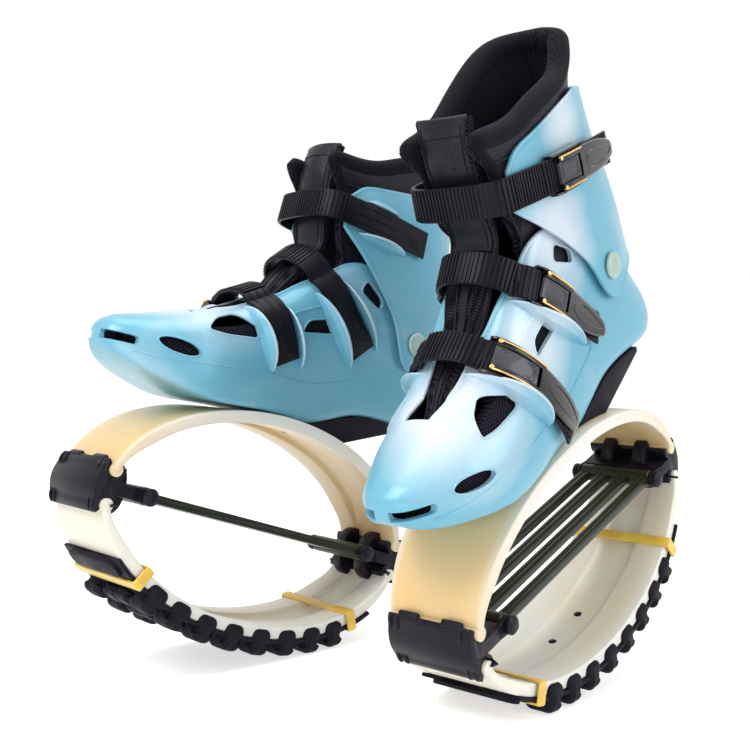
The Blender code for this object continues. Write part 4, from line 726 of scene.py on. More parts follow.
def block(size, centre, edge, segments=2):
    """A bevelled box as points and faces."""
    body = bmesh.new()
    bmesh.ops.create_cube(body, size=1.0)
    bmesh.ops.scale(body, verts=body.verts, vec=size)
    bmesh.ops.bevel(body, geom=body.edges, offset=edge, segments=segments, affect="EDGES", profile=0.6)
    bmesh.ops.translate(body, verts=body.verts, vec=centre)
    points = [vertex.co.copy() for vertex in body.verts]
    faces = [tuple(vertex.index for vertex in face.verts) for face in body.faces]
    body.free()
    return points, faces


def moved(part, matrix):
    points, faces = part
    return [matrix @ point for point in points], faces


def make_mesh(name, parts, weld=True):
    """One mesh from parts of points and faces, all facing out."""
    points = []
    faces = []
    for some, corners in parts:
        shift = len(points)
        points += some
        faces += [tuple(k + shift for k in face) for face in corners]
    mesh = bpy.data.meshes.new(name)
    mesh.from_pydata([tuple(point) for point in points], [], faces)
    body = bmesh.new()
    body.from_mesh(mesh)
    if weld:
        bmesh.ops.remove_doubles(body, verts=body.verts, dist=WELD)
        bmesh.ops.dissolve_degenerate(body, edges=body.edges, dist=WELD)
    bmesh.ops.recalc_face_normals(body, faces=body.faces)
    body.to_mesh(mesh)
    body.free()
    return mesh


def plate(name, outline, low, high, edge=0.0, segments=2):
    """A flat (x, z) outline extruded along Y, with bevelled edges."""
    flat = bpy.data.curves.new(name, "CURVE")
    flat.dimensions = "2D"
    flat.fill_mode = "BOTH"
    flat.extrude = (high - low) / 2.0
    line = flat.splines.new("POLY")
    line.points.add(len(outline) - 1)
    for point, (x, z) in zip(line.points, outline):
        point.co = (x, z, 0.0, 1.0)
    line.use_cyclic_u = True
    guide = bpy.data.objects.new(name, flat)
    mesh = evaluated(guide)
    mesh.transform(Matrix.Translation((0.0, (low + high) / 2.0, 0.0)) @ Matrix.Rotation(math.pi / 2.0, 4, "X"))
    body = bmesh.new()
    body.from_mesh(mesh)
    bmesh.ops.remove_doubles(body, verts=body.verts, dist=WELD)
    bmesh.ops.dissolve_limit(body, angle_limit=FLAT_ANGLE, verts=body.verts, edges=body.edges)
    bmesh.ops.recalc_face_normals(body, faces=body.faces)
    if edge > 0.0:
        rims = [e for e in body.edges if e.is_manifold and e.calc_face_angle() > RIM_ANGLE]
        bmesh.ops.bevel(body, geom=rims, offset=edge, segments=segments, affect="EDGES", profile=0.5, clamp_overlap=True)
    body.to_mesh(mesh)
    body.free()
    return mesh


def evaluated(thing):
    """The mesh of an object with its modifiers or its curve worked out; the object is removed."""
    bpy.context.scene.collection.objects.link(thing)
    view = bpy.context.evaluated_depsgraph_get()
    mesh = bpy.data.meshes.new_from_object(thing.evaluated_get(view))
    mesh.name = thing.name
    bpy.data.objects.remove(thing)
    return mesh


def mesh_part(mesh):
    """A mesh as points and faces, so that it can be joined with others."""
    return [vertex.co.copy() for vertex in mesh.vertices], [tuple(face.vertices) for face in mesh.polygons]


def cut(mesh, tools):
    """Subtracts closed tool meshes from a mesh."""
    thing = bpy.data.objects.new(mesh.name, mesh)
    helpers = []
    for tool in tools:
        helper = bpy.data.objects.new(tool.name, tool)
        bpy.context.scene.collection.objects.link(helper)
        helpers.append(helper)
        change = thing.modifiers.new(tool.name, "BOOLEAN")
        change.operation = "DIFFERENCE"
        change.object = helper
    made = evaluated(thing)
    for helper in helpers:
        bpy.data.objects.remove(helper)
    return made


def repeat(name, unit, places, sizes=None):
    """Sets a unit mesh on a list of places with Geometry Nodes and returns the plain mesh."""
    seeds = bpy.data.meshes.new(f"{name}_seeds")
    seeds.from_pydata([tuple(place.translation) for place in places], [], [])
    turns = seeds.attributes.new("turn", "FLOAT_VECTOR", "POINT")
    grow = seeds.attributes.new("grow", "FLOAT_VECTOR", "POINT")
    for k, place in enumerate(places):
        turns.data[k].vector = place.to_euler()
        grow.data[k].vector = sizes[k] if sizes else (1.0, 1.0, 1.0)
    pattern = bpy.data.objects.new(f"{name}_unit", unit)
    bpy.context.scene.collection.objects.link(pattern)
    tree = bpy.data.node_groups.new(f"{name}_pattern", "GeometryNodeTree")
    tree.interface.new_socket("Geometry", in_out="INPUT", socket_type="NodeSocketGeometry")
    tree.interface.new_socket("Geometry", in_out="OUTPUT", socket_type="NodeSocketGeometry")
    source = tree.nodes.new("NodeGroupInput")
    target = tree.nodes.new("NodeGroupOutput")
    info = tree.nodes.new("GeometryNodeObjectInfo")
    info.inputs["Object"].default_value = pattern
    stamp = tree.nodes.new("GeometryNodeInstanceOnPoints")
    real = tree.nodes.new("GeometryNodeRealizeInstances")
    finish = tree.nodes.new("GeometryNodeSetMaterial")
    finish.inputs["Material"].default_value = unit.materials[0] if unit.materials else None
    for label, socket in (("turn", "Rotation"), ("grow", "Scale")):
        named = tree.nodes.new("GeometryNodeInputNamedAttribute")
        named.data_type = "FLOAT_VECTOR"
        named.inputs["Name"].default_value = label
        tree.links.new(named.outputs["Attribute"], stamp.inputs[socket])
    tree.links.new(source.outputs["Geometry"], stamp.inputs["Points"])
    tree.links.new(info.outputs["Geometry"], stamp.inputs["Instance"])
    tree.links.new(stamp.outputs["Instances"], real.inputs["Geometry"])
    tree.links.new(real.outputs["Geometry"], finish.inputs["Geometry"])
    tree.links.new(finish.outputs["Geometry"], target.inputs["Geometry"])
    thing = bpy.data.objects.new(name, seeds)
    change = thing.modifiers.new("pattern", "NODES")
    change.node_group = tree
    made = evaluated(thing)
    bpy.data.objects.remove(pattern)
    return made


def frame_at(place, along, normal):
    """A matrix with X along a path and Z off a surface."""
    x = along.normalized()
    z = (normal - x * normal.dot(x)).normalized()
    y = z.cross(x)
    turn = Matrix((x, y, z)).transposed()
    return Matrix.Translation(place) @ turn.to_4x4()


def dress(mesh, name, key, looks, node=None, flex=None, sharp=None):
    """Sets a finished local mesh into both shoes, parents it to its body unless it is an ankle piece, whose place is
    only baked in, and hides the CAD node that it replaces.
    """
    rest = mesh.attributes.new("rest", "FLOAT_VECTOR", "POINT")
    for vertex in mesh.vertices:
        rest.data[vertex.index].vector = vertex.co
    order = [face.material_index for face in mesh.polygons]
    mesh.materials.clear()
    for look in looks:
        mesh.materials.append(look)
    for face, which in zip(mesh.polygons, order):
        face.material_index = min(which, len(looks) - 1)
    mesh.shade_smooth()
    mesh.set_sharp_from_angle(angle=sharp or SHARP_ANGLE)
    for side in SIDES:
        copy = mesh.copy()
        copy.transform(SHOES[side])
        if side == "right":
            copy.flip_normals()
        thing = bpy.data.objects.new(f"{side}_{name}_form", copy)
        bpy.context.scene.collection.objects.link(thing)
        if flex == "ankle":
            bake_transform(thing)
        else:
            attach(thing, body_name(side, key))
        if flex in ("upper", "lower"):
            squash_bow(thing)
        if node:
            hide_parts(*[f"{side}_{one}" for one in ([node] if isinstance(node, str) else node)])
    bpy.data.meshes.remove(mesh)


def squash_bow(thing):
    """Gives a bow's object a copy of its mesh of its own."""
    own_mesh(thing)


# Materials
def new_look(name, colour, roughness, metallic=0.0, coat=0.0, coat_roughness=0.1, sheen=0.0, specular=0.5):
    made = bpy.data.materials.new(name)
    made.use_nodes = True
    shader = made.node_tree.nodes["Principled BSDF"]
    shader.inputs["Base Color"].default_value = (*colour, 1.0)
    shader.inputs["Roughness"].default_value = roughness
    shader.inputs["Metallic"].default_value = metallic
    shader.inputs["Coat Weight"].default_value = coat
    shader.inputs["Coat Roughness"].default_value = coat_roughness
    shader.inputs["Sheen Weight"].default_value = sheen
    shader.inputs["Specular IOR Level"].default_value = specular
    return made, made.node_tree, shader


def add(tree, kind, **inputs):
    """Adds a node; inputs are its sockets by name with underscores, as numbers or as other sockets."""
    node = tree.nodes.new(kind)
    for label, value in inputs.items():
        socket = node.inputs[label.replace("_", " ")]
        if isinstance(value, bpy.types.NodeSocket):
            tree.links.new(value, socket)
        else:
            socket.default_value = value
    return node


def rest_place(tree):
    spot = tree.nodes.new("ShaderNodeAttribute")
    spot.attribute_name = "rest"
    return spot.outputs["Vector"]


def stretched(tree, vector, scale):
    node = tree.nodes.new("ShaderNodeMapping")
    node.vector_type = "POINT"
    node.inputs["Scale"].default_value = scale
    tree.links.new(vector, node.inputs["Vector"])
    return node.outputs["Vector"]


def ramp(tree, value, low, high, first, last):
    """A value stretched between two levels onto two others, held at both ends."""
    node = add(tree, "ShaderNodeMapRange", Value=value, From_Min=low, From_Max=high, To_Min=first, To_Max=last)
    return node.outputs["Result"]


def mixed(tree, factor, first, second):
    node = tree.nodes.new("ShaderNodeMix")
    node.data_type = "RGBA"
    tree.links.new(factor, node.inputs["Factor"])
    colours = [socket for socket in node.inputs if socket.type == "RGBA"]
    for socket, value in zip(colours, (first, second)):
        if isinstance(value, bpy.types.NodeSocket):
            tree.links.new(value, socket)
        else:
            socket.default_value = (*value, 1.0)
    return [socket for socket in node.outputs if socket.type == "RGBA"][0]


def bumped(tree, shader, height, distance, strength=1.0):
    node = add(tree, "ShaderNodeBump", Height=height, Distance=distance, Strength=strength)
    tree.links.new(node.outputs["Normal"], shader.inputs["Normal"])


def shade(colour, factor):
    return tuple(min(1.0, channel * factor) for channel in colour)


def pearl_look(name, colour, glow):
    """Pearl plastic: white and lilac drifts over blue at random, and white patches painted as highlights where lamps
    shine on the crown of the toe and the cuff's flank.
    """
    made, tree, shader = new_look(name, colour, 0.36, 0.08, 0.22, 0.20, 0.0, 0.28)
    rest = rest_place(tree)
    drift = add(tree, "ShaderNodeTexNoise", Vector=stretched(tree, rest, (0.55, 1.0, 1.0)), Scale=10.0, Detail=3.0,
                Distortion=0.5)
    cloud = ramp(tree, drift.outputs["Fac"], 0.54, 0.72, 0.0, 0.42)
    sway = ramp(tree, drift.outputs["Fac"], 0.3, 0.7, 0.75, 1.35)
    # Painted highlights: each patch whitens the pearl round a given place, with its edge warped by the drift noise, and
    # joins the random drifts in the cloud.
    for place, reach in PAINTED_HIGHLIGHT_PATCHES:
        apart = tree.nodes.new("ShaderNodeVectorMath")
        apart.operation = "DISTANCE"
        tree.links.new(rest, apart.inputs[0])
        apart.inputs[1].default_value = place
        warped = combined(tree, "MULTIPLY", apart.outputs["Value"], sway)
        cloud = combined(tree, "MAXIMUM", cloud, ramp(tree, warped, reach * 0.35, reach, 0.85, 0.0))
    tint = add(tree, "ShaderNodeTexNoise", Vector=rest, Scale=9.0, Detail=1.0)
    pearl = mixed(tree, ramp(tree, tint.outputs["Fac"], 0.35, 0.65, 0.0, 1.0), glow, PEARL_LILAC)
    fleck = add(tree, "ShaderNodeTexNoise", Vector=rest, Scale=1600.0, Detail=2.0)
    tone = tree.nodes.new("ShaderNodeVectorMath")
    tone.operation = "SCALE"
    tree.links.new(mixed(tree, cloud, colour, pearl), tone.inputs[0])
    tree.links.new(ramp(tree, fleck.outputs["Fac"], 0.3, 0.7, 0.95, 1.04), tone.inputs["Scale"])
    tree.links.new(tone.outputs["Vector"], shader.inputs["Base Color"])
    wear = add(tree, "ShaderNodeTexNoise", Vector=stretched(tree, rest, (0.3, 1.0, 1.0)), Scale=45.0, Detail=2.0)
    tree.links.new(ramp(tree, wear.outputs["Fac"], 0.35, 0.75, 0.28, 0.38), shader.inputs["Roughness"])
    bumped(tree, shader, wear.outputs["Fac"], 0.00004, 0.12)
    return made


def combined(tree, operation, first, second):
    """Two values joined by one sum."""
    node = tree.nodes.new("ShaderNodeMath")
    node.operation = operation
    tree.links.new(first, node.inputs[0])
    if isinstance(second, bpy.types.NodeSocket):
        tree.links.new(second, node.inputs[1])
    else:
        node.inputs[1].default_value = second
    return node.outputs["Value"]


def nylon_look(name, colour, warm, edge_light_colour):
    """Cream nylon that is warmer in its random drifts, with painted light along its thin edges, where light bleeds
    through.
    """
    made, tree, shader = new_look(name, colour, 0.38, 0.0, 0.15, 0.25)
    rest = rest_place(tree)
    parts = add(tree, "ShaderNodeSeparateXYZ", Vector=rest)
    # Painted light along the thin edges: the colour turns to the edge light colour near both sides of the bow.
    edge = ramp(tree, combined(tree, "ABSOLUTE", parts.outputs["Y"], 0.0), 0.034, 0.047, 0.0, 1.0)
    drift = add(tree, "ShaderNodeTexNoise", Vector=rest, Scale=9.0, Detail=2.0)
    cloud = ramp(tree, drift.outputs["Fac"], 0.38, 0.66, 0.0, 1.0)
    tree.links.new(mixed(tree, edge, mixed(tree, cloud, colour, warm), edge_light_colour), shader.inputs["Base Color"])
    grain = add(tree, "ShaderNodeTexNoise", Vector=rest, Scale=700.0, Detail=3.0)
    tree.links.new(ramp(tree, grain.outputs["Fac"], 0.3, 0.7, 0.33, 0.45), shader.inputs["Roughness"])
    bumped(tree, shader, grain.outputs["Fac"], 0.00005, 0.3)
    shader.inputs["Subsurface Weight"].default_value = 0.10
    shader.inputs["Subsurface Radius"].default_value = (0.006, 0.004, 0.003)
    shader.inputs["Subsurface Scale"].default_value = 1.0
    return made


def moulded_look(name, colour, roughness, coat=0.0, grain_scale=900.0, depth=0.00006, specular=0.13):
    """Moulded plastic or rubber with a fine grain and worn, slightly lighter patches."""
    made, tree, shader = new_look(name, colour, roughness, 0.0, coat, 0.08, 0.0, specular)
    rest = rest_place(tree)
    grain = add(tree, "ShaderNodeTexNoise", Vector=rest, Scale=grain_scale, Detail=4.0)
    wear = add(tree, "ShaderNodeTexNoise", Vector=rest, Scale=45.0, Detail=5.0)
    patch = ramp(tree, wear.outputs["Fac"], 0.40, 0.75, 0.0, 1.0)
    tree.links.new(mixed(tree, patch, colour, shade(colour, 1.6)), shader.inputs["Base Color"])
    rough = ramp(tree, wear.outputs["Fac"], 0.3, 0.7, roughness * 0.85, min(1.0, roughness * 1.25))
    tree.links.new(rough, shader.inputs["Roughness"])
    bumped(tree, shader, grain.outputs["Fac"], depth, 0.5)
    return made


def leather_look(name, colour):
    """Grained leather: small rounded cells with creases between them; the colour is darker in the creases as painted
    shade and lighter on the cells' crowns as painted light, with random tone from a noise.
    """
    made, tree, shader = new_look(name, colour, 0.42, 0.0, 0.06, 0.25, 0.0, 0.18)
    rest = rest_place(tree)
    bend = add(tree, "ShaderNodeTexNoise", Vector=rest, Scale=300.0, Detail=2.0)
    cells = add(tree, "ShaderNodeTexVoronoi", Vector=rest, Scale=520.0, Randomness=1.0)
    cells.feature = "DISTANCE_TO_EDGE"
    both = combined(tree, "ADD", combined(tree, "MULTIPLY", cells.outputs["Distance"], 1.6), bend.outputs["Fac"])
    tone = ramp(tree, both, 0.3, 1.0, 0.0, 1.0)
    # Painted shade in the creases and painted light on the cells' crowns: the colour follows the grain's height.
    tree.links.new(mixed(tree, tone, shade(colour, 0.55), shade(colour, 1.5)), shader.inputs["Base Color"])
    tree.links.new(ramp(tree, both, 0.3, 1.0, 0.55, 0.33), shader.inputs["Roughness"])
    bumped(tree, shader, both, 0.0003, 0.5)
    return made


def weave_look(name, colour, pitch, depth, lift):
    """A woven or knitted cloth: two crossing waves with a sheen; the colour is darker in the hollows of the weave as
    painted shade and lighter on its threads, by lift, as painted light.
    """
    made, tree, shader = new_look(name, colour, 0.85, 0.0, 0.0, 0.1, 0.06, 0.10)
    shader.inputs["Sheen Roughness"].default_value = 0.4
    rest = rest_place(tree)
    heights = []
    for turn in (math.radians(35.0), math.radians(-35.0)):
        node = tree.nodes.new("ShaderNodeMapping")
        node.inputs["Rotation"].default_value = (0.0, turn, math.radians(12.0))
        tree.links.new(rest, node.inputs["Vector"])
        wave = add(tree, "ShaderNodeTexWave", Vector=node.outputs["Vector"], Scale=1.0 / (pitch * 2.0 * math.pi) * 2.0,
                   Distortion=0.4, Detail=1.0)
        heights.append(wave.outputs["Fac"])
    both = combined(tree, "MULTIPLY", *heights)
    # Painted shade and light: the colour follows the weave's height, dark in its hollows and lit by lift on its
    # threads.
    tree.links.new(mixed(tree, both, shade(colour, 0.35), shade(colour, lift)), shader.inputs["Base Color"])
    bumped(tree, shader, both, depth, 0.9)
    return made


def all_looks(settings):
    black = tuple(settings.black_colour)
    shell = tuple(settings.shell_colour)
    bow = tuple(settings.bow_colour)
    warm = tuple(settings.bow_warm_colour)
    return {
        # A lighter copy of the pearl for the guards' crest beads: a painted highlight along the crests.
        "rim": pearl_look("rim_pearl", (0.46, 0.66, 0.78), (0.84, 0.85, 0.93)),
        "pearl": pearl_look("pearl_plastic", shell, tuple(settings.pearl_and_highlight_colour)),
        # The last colour of each nylon is painted light for the bows' thin edges.
        "bow": nylon_look("cream_nylon", bow, warm, (0.90, 0.88, 0.82)),
        "pale_bow": nylon_look("pale_nylon", tuple(settings.pale_bow_colour), (0.90, 0.82, 0.64), (0.91, 0.91, 0.85)),
        "band": moulded_look("amber_rubber", tuple(settings.band_colour), 0.35, 0.2, specular=0.5),
        "joint": moulded_look("black_joint_plastic", shade(black, 1.3), 0.38, 0.1),
        "strand": moulded_look("strand_rubber", (0.012, 0.017, 0.010), 0.30, 0.25),
        "rubber": moulded_look("tread_rubber", shade(black, 1.2), 0.55, 0.0, 500.0, 0.00015),
        "strap": moulded_look("strap_plastic", black, 0.36, 0.05),
        "gloss": moulded_look("gloss_black_plastic", shade(black, 0.6), 0.12, 0.8),
        "plate": moulded_look("grey_plate", (0.050, 0.052, 0.062), 0.25, 0.5),
        "brass": new_look("brass", (0.83, 0.55, 0.18), 0.22, 1.0)[0],
        "rivet": pearl_look("rivet_pearl", (0.42, 0.56, 0.50), (0.80, 0.78, 0.58)),
        "leather": leather_look("black_leather", shade(black, 1.2)),
        # The last number of each cloth is how much lighter its threads are painted than its hollows, a painted light
        # and shade.
        "textile": weave_look("collar_cloth", shade(black, 1.3), 0.0016, 0.0005, 2.6),
        "mesh": weave_look("air_mesh", black, 0.0021, 0.0006, 7.0),
        "stitch": weave_look("thread", shade(black, 2.2), 0.0008, 0.0001, 1.4),
    }


LOOKS = {}


# Bows, treads and bands
def bow_rim(angle):
    return BOW_RIM_HEIGHT * smooth_step((math.sin(angle) - math.sin(BOW_END_ANGLE)) * 3.0)


def bow_ring(angle, height, width, sign):
    half = bow_half_width(angle, width)
    rim = bow_rim(angle)
    outer = BOW_THICKNESS / 2.0
    inner = -BOW_THICKNESS / 2.0
    channel = half * CHANNEL_SHARE
    right = [(half, outer), (half, inner - rim), (channel + CHANNEL_SLOPE, inner - rim), (channel, inner)]
    left = [(-y, offset) for y, offset in reversed(right)]
    return [bow_point(angle, offset, y, height, sign) for y, offset in rounded(right + left, BOW_EDGE_RADIUS)]


def bow_mesh(name, height, width, sign):
    """An oval spring's half: two wide rails with a shallow channel between them and a bead at each end."""
    span = math.pi - 2.0 * BOW_END_ANGLE
    angles = [BOW_END_ANGLE + span * k / BOW_STEPS for k in range(BOW_STEPS + 1)]
    rings = [bow_ring(angle, height, width, sign) for angle in angles]
    parts = []
    for side_x, end, row in ((1.0, 0, 0), (-1.0, BOW_STEPS, len(rings))):
        middle = bow_point(angles[end], 0.0, 0.0, height, sign)
        shift = Vector((side_x * BEAD_X, 0.0, sign * BEAD_HEIGHT)) - middle
        tail = [point + shift for point in bow_ring(angles[end], height, width, sign)]
        rings.insert(row if row == 0 else len(rings), tail)
        centre = Vector((side_x * BEAD_X, 0.0, sign * BEAD_HEIGHT))
        path = [centre + Vector((0.0, y, 0.0)) for y in spread(-BOW_END_WIDTH / 2.0, BOW_END_WIDTH / 2.0, 6)]
        parts.append(bead(path, BEAD_RADIUS, 24))
    return make_mesh(name, [skin(rings)] + parts, weld=False)


def make_bows(detail):
    for name, height, width, sign, key, flex in (("boot_bow", UPPER_BOW_HEIGHT, UPPER_BOW_WIDTH, 1.0, "boot", "upper"),
                                                 ("ground_bow", LOWER_BOW_HEIGHT, LOWER_BOW_WIDTH, -1.0, "ground",
                                                  "lower")):
        look = LOOKS["bow" if sign > 0.0 else "pale_bow"]
        dress(bow_mesh(name, height, width, sign), name, key, [look], name, flex)
        studs = []
        for turn in STUD_ANGLES:
            angle = math.pi / 2.0 + turn
            inner = bow_point(angle, -BOW_THICKNESS / 2.0, 0.0, height, sign)
            deeper = bow_point(angle, -BOW_THICKNESS, 0.0, height, sign)
            ahead = bow_point(angle + STEP_ANGLE, -BOW_THICKNESS / 2.0, 0.0, height, sign)
            studs.append(frame_at(inner, ahead - inner, deeper - inner))
        unit = make_mesh("stud", [turned([(0.0, -STUD_RADIUS * 0.3), (STUD_RADIUS, -STUD_RADIUS * 0.3),
                                          (STUD_RADIUS, 0.0), (STUD_RADIUS * 0.7, STUD_RADIUS * 0.25),
                                          (0.0, STUD_RADIUS * 0.3)], 16)])
        unit.materials.append(LOOKS["joint"])
        dress(repeat(f"{name}_studs", unit, studs), f"{name}_studs", key, [LOOKS["joint"]], None, flex)


def turned(profile, sides):
    """Points and faces of a profile of (radius, z) turned about Z, closed at its ends."""
    rings = []
    for radius, z in profile:
        reach = max(radius, WELD * 2.0)
        rings.append([Vector((reach * math.cos(2.0 * math.pi * k / sides), reach * math.sin(2.0 * math.pi * k / sides), z))
                      for k in range(sides)])
    return skin(rings)


def tread_ring(angle, half, inner, outer, edge):
    corners = [(half, inner), (half, outer), (-half, outer), (-half, inner)]
    return [bow_point(angle, offset, y, LOWER_BOW_HEIGHT, -1.0) for y, offset in rounded(corners, edge)]


def lug_places(share, offset, turns):
    """Places round the tread for lugs at a share of its half width, at an offset from the bow's middle."""
    places = []
    for turn in turns:
        angle = math.pi / 2.0 + turn
        half = bow_half_width(angle, LOWER_BOW_WIDTH) * TREAD_WIDTH / LOWER_BOW_WIDTH
        here = bow_point(angle, offset, half * share, LOWER_BOW_HEIGHT, -1.0)
        beyond = bow_point(angle, offset + TREAD_BASE, half * share, LOWER_BOW_HEIGHT, -1.0)
        ahead = bow_point(angle + STEP_ANGLE, offset, half * share, LOWER_BOW_HEIGHT, -1.0)
        places.append(frame_at(here, ahead - here, beyond - here))
    return places


def make_treads(detail):
    inner = BOW_THICKNESS / 2.0 + CLEARANCE
    outer = inner + TREAD_BASE
    rings = []
    for angle in spread(math.pi / 2.0 - TREAD_END_ANGLE, math.pi / 2.0 + TREAD_END_ANGLE, BOW_STEPS):
        half = bow_half_width(angle, LOWER_BOW_WIDTH) * TREAD_WIDTH / LOWER_BOW_WIDTH
        rings.append(tread_ring(angle, half, inner, outer, TREAD_BASE * 0.3))
    parts = [skin(rings)]
    for sign in (-1.0, 1.0):
        tab = []
        for k, share in enumerate(eased(14)):
            angle = math.pi / 2.0 + sign * (TREAD_TAB_ANGLE + (TREAD_END_ANGLE - TREAD_TAB_ANGLE) * share)
            nip = TAB_CHAMFER * (1.0 - math.sin(math.pi * share)) ** 2
            half = bow_half_width(angle, LOWER_BOW_WIDTH) * TAB_WIDTH_SHARE - nip
            rise = TREAD_TAB_HEIGHT * (0.35 + 0.65 * min(1.0, 4.0 * math.sin(math.pi * share)))
            tab.append(tread_ring(angle, half, inner, outer + rise, TREAD_BASE * 0.4))
        parts.append(skin(tab))
    base = make_mesh("tread", parts, weld=False)
    base.materials.append(LOOKS["rubber"])
    pitch = LUG_FIELD_ANGLE / LUG_COUNT
    turns = [-LUG_FIELD_ANGLE / 2.0 + pitch * (k + 0.5) for k in range(LUG_COUNT)]
    top = inner + TREAD_BASE + LUG_HEIGHT - CLEARANCE * 2.0
    tall = top + LUG_EAR
    side = make_mesh("side_lug", [lug_unit(detail.lug_length, LUG_WIDTH, tall)])
    side.materials.append(LOOKS["rubber"])
    middle = make_mesh("middle_lug", [lug_unit(detail.lug_length * 0.9, LUG_WIDTH * 0.72, LUG_HEIGHT * 0.9)])
    middle.materials.append(LOOKS["rubber"])
    reach = 1.0 - (LUG_WIDTH / 2.0 - LUG_OVERHANG) / (TREAD_WIDTH / 2.0)
    places = lug_places(reach, top - tall / 2.0, turns) + lug_places(-reach, top - tall / 2.0, turns)
    lugs = [mesh_part(repeat("side_lugs", side, places))]
    for share in (-0.19, 0.19):
        rows = lug_places(share, inner + TREAD_BASE + LUG_HEIGHT * 0.3, turns)
        lugs.append(mesh_part(repeat("middle_lugs", middle, rows)))
    mesh = make_mesh("tread", [mesh_part(base)] + lugs, weld=False)
    dress(mesh, "tread", "ground", [LOOKS["rubber"]], "tread", "lower")


def lug_unit(length, width, tall):
    """A rounded lug: a bevelled block whose crown is drawn in."""
    body = bmesh.new()
    bmesh.ops.create_cube(body, size=1.0)
    bmesh.ops.scale(body, verts=body.verts, vec=(length, width, tall))
    bmesh.ops.subdivide_edges(body, edges=body.edges, cuts=2, use_grid_fill=True)
    for vertex in body.verts:
        level = vertex.co.z / (tall / 2.0)
        bow = 1.0 - 0.16 * max(0.0, level) ** 2 - 0.10 * max(0.0, -level) ** 2
        vertex.co.x *= bow
        vertex.co.y *= 1.0 - 0.10 * max(0.0, level) ** 2
    bmesh.ops.bevel(body, geom=[e for e in body.edges if e.calc_face_angle(0.0) > RIM_ANGLE], offset=length * 0.27,
                    segments=4, affect="EDGES", profile=0.5, clamp_overlap=True)
    points = [vertex.co.copy() for vertex in body.verts]
    faces = [tuple(vertex.index for vertex in face.verts) for face in body.faces]
    body.free()
    return points, faces


def band_mesh(name, angle):
    rings = []
    half = bow_half_width(angle, LOWER_BOW_WIDTH) * TREAD_WIDTH / LOWER_BOW_WIDTH + CLEARANCE
    low = -BOW_THICKNESS / 2.0 - BOW_RIM_HEIGHT - CLEARANCE
    high = BOW_THICKNESS / 2.0 + TREAD_BASE + 2.0 * CLEARANCE
    loops = []
    for grown, crown in ((0.0, 0.0), (BAND_THICKNESS, 1.0)):
        wide = half + grown
        corners = [(wide, low - grown), (wide, high + grown), (-wide, high + grown), (-wide, low - grown)]
        long = []
        for k in range(4):
            start, end = Vector(corners[k]), Vector(corners[(k + 1) % 4])
            long += [tuple(start.lerp(end, t)) for t in (0.0, 0.12, 0.5, 0.88)]
        loops.append(rounded(long, BAND_THICKNESS * (0.4 + crown), 2))
    hole, outside = loops
    shares = (-1.0, -0.9, -0.5, 0.0, 0.5, 0.9, 1.0)
    crowns = (0.45, 0.85, 1.0, 1.0, 1.0, 0.85, 0.45)
    for (y0, z0), (y1, z1) in zip(hole, outside):
        ring = []
        for share, crown in zip(shares, crowns):
            y = y0 + (y1 - y0) * crown
            offset = z0 + (z1 - z0) * crown
            ring.append(bow_point(angle + BAND_SPREAD_ANGLE * share, offset, y, LOWER_BOW_HEIGHT, -1.0))
        for share in reversed(shares):
            ring.append(bow_point(angle + BAND_SPREAD_ANGLE * share, z0, y0, LOWER_BOW_HEIGHT, -1.0))
        rings.append(ring)
    return make_mesh(name, [skin(rings, loop=True)], weld=False)


def make_bands(detail):
    middle = math.pi / 2.0 - BAND_MIDDLE_ANGLE
    for name, angle in (("front_band", middle), ("rear_band", math.pi - middle)):
        dress(band_mesh(name, angle), name, "ground", [LOOKS["band"]], name, "lower")


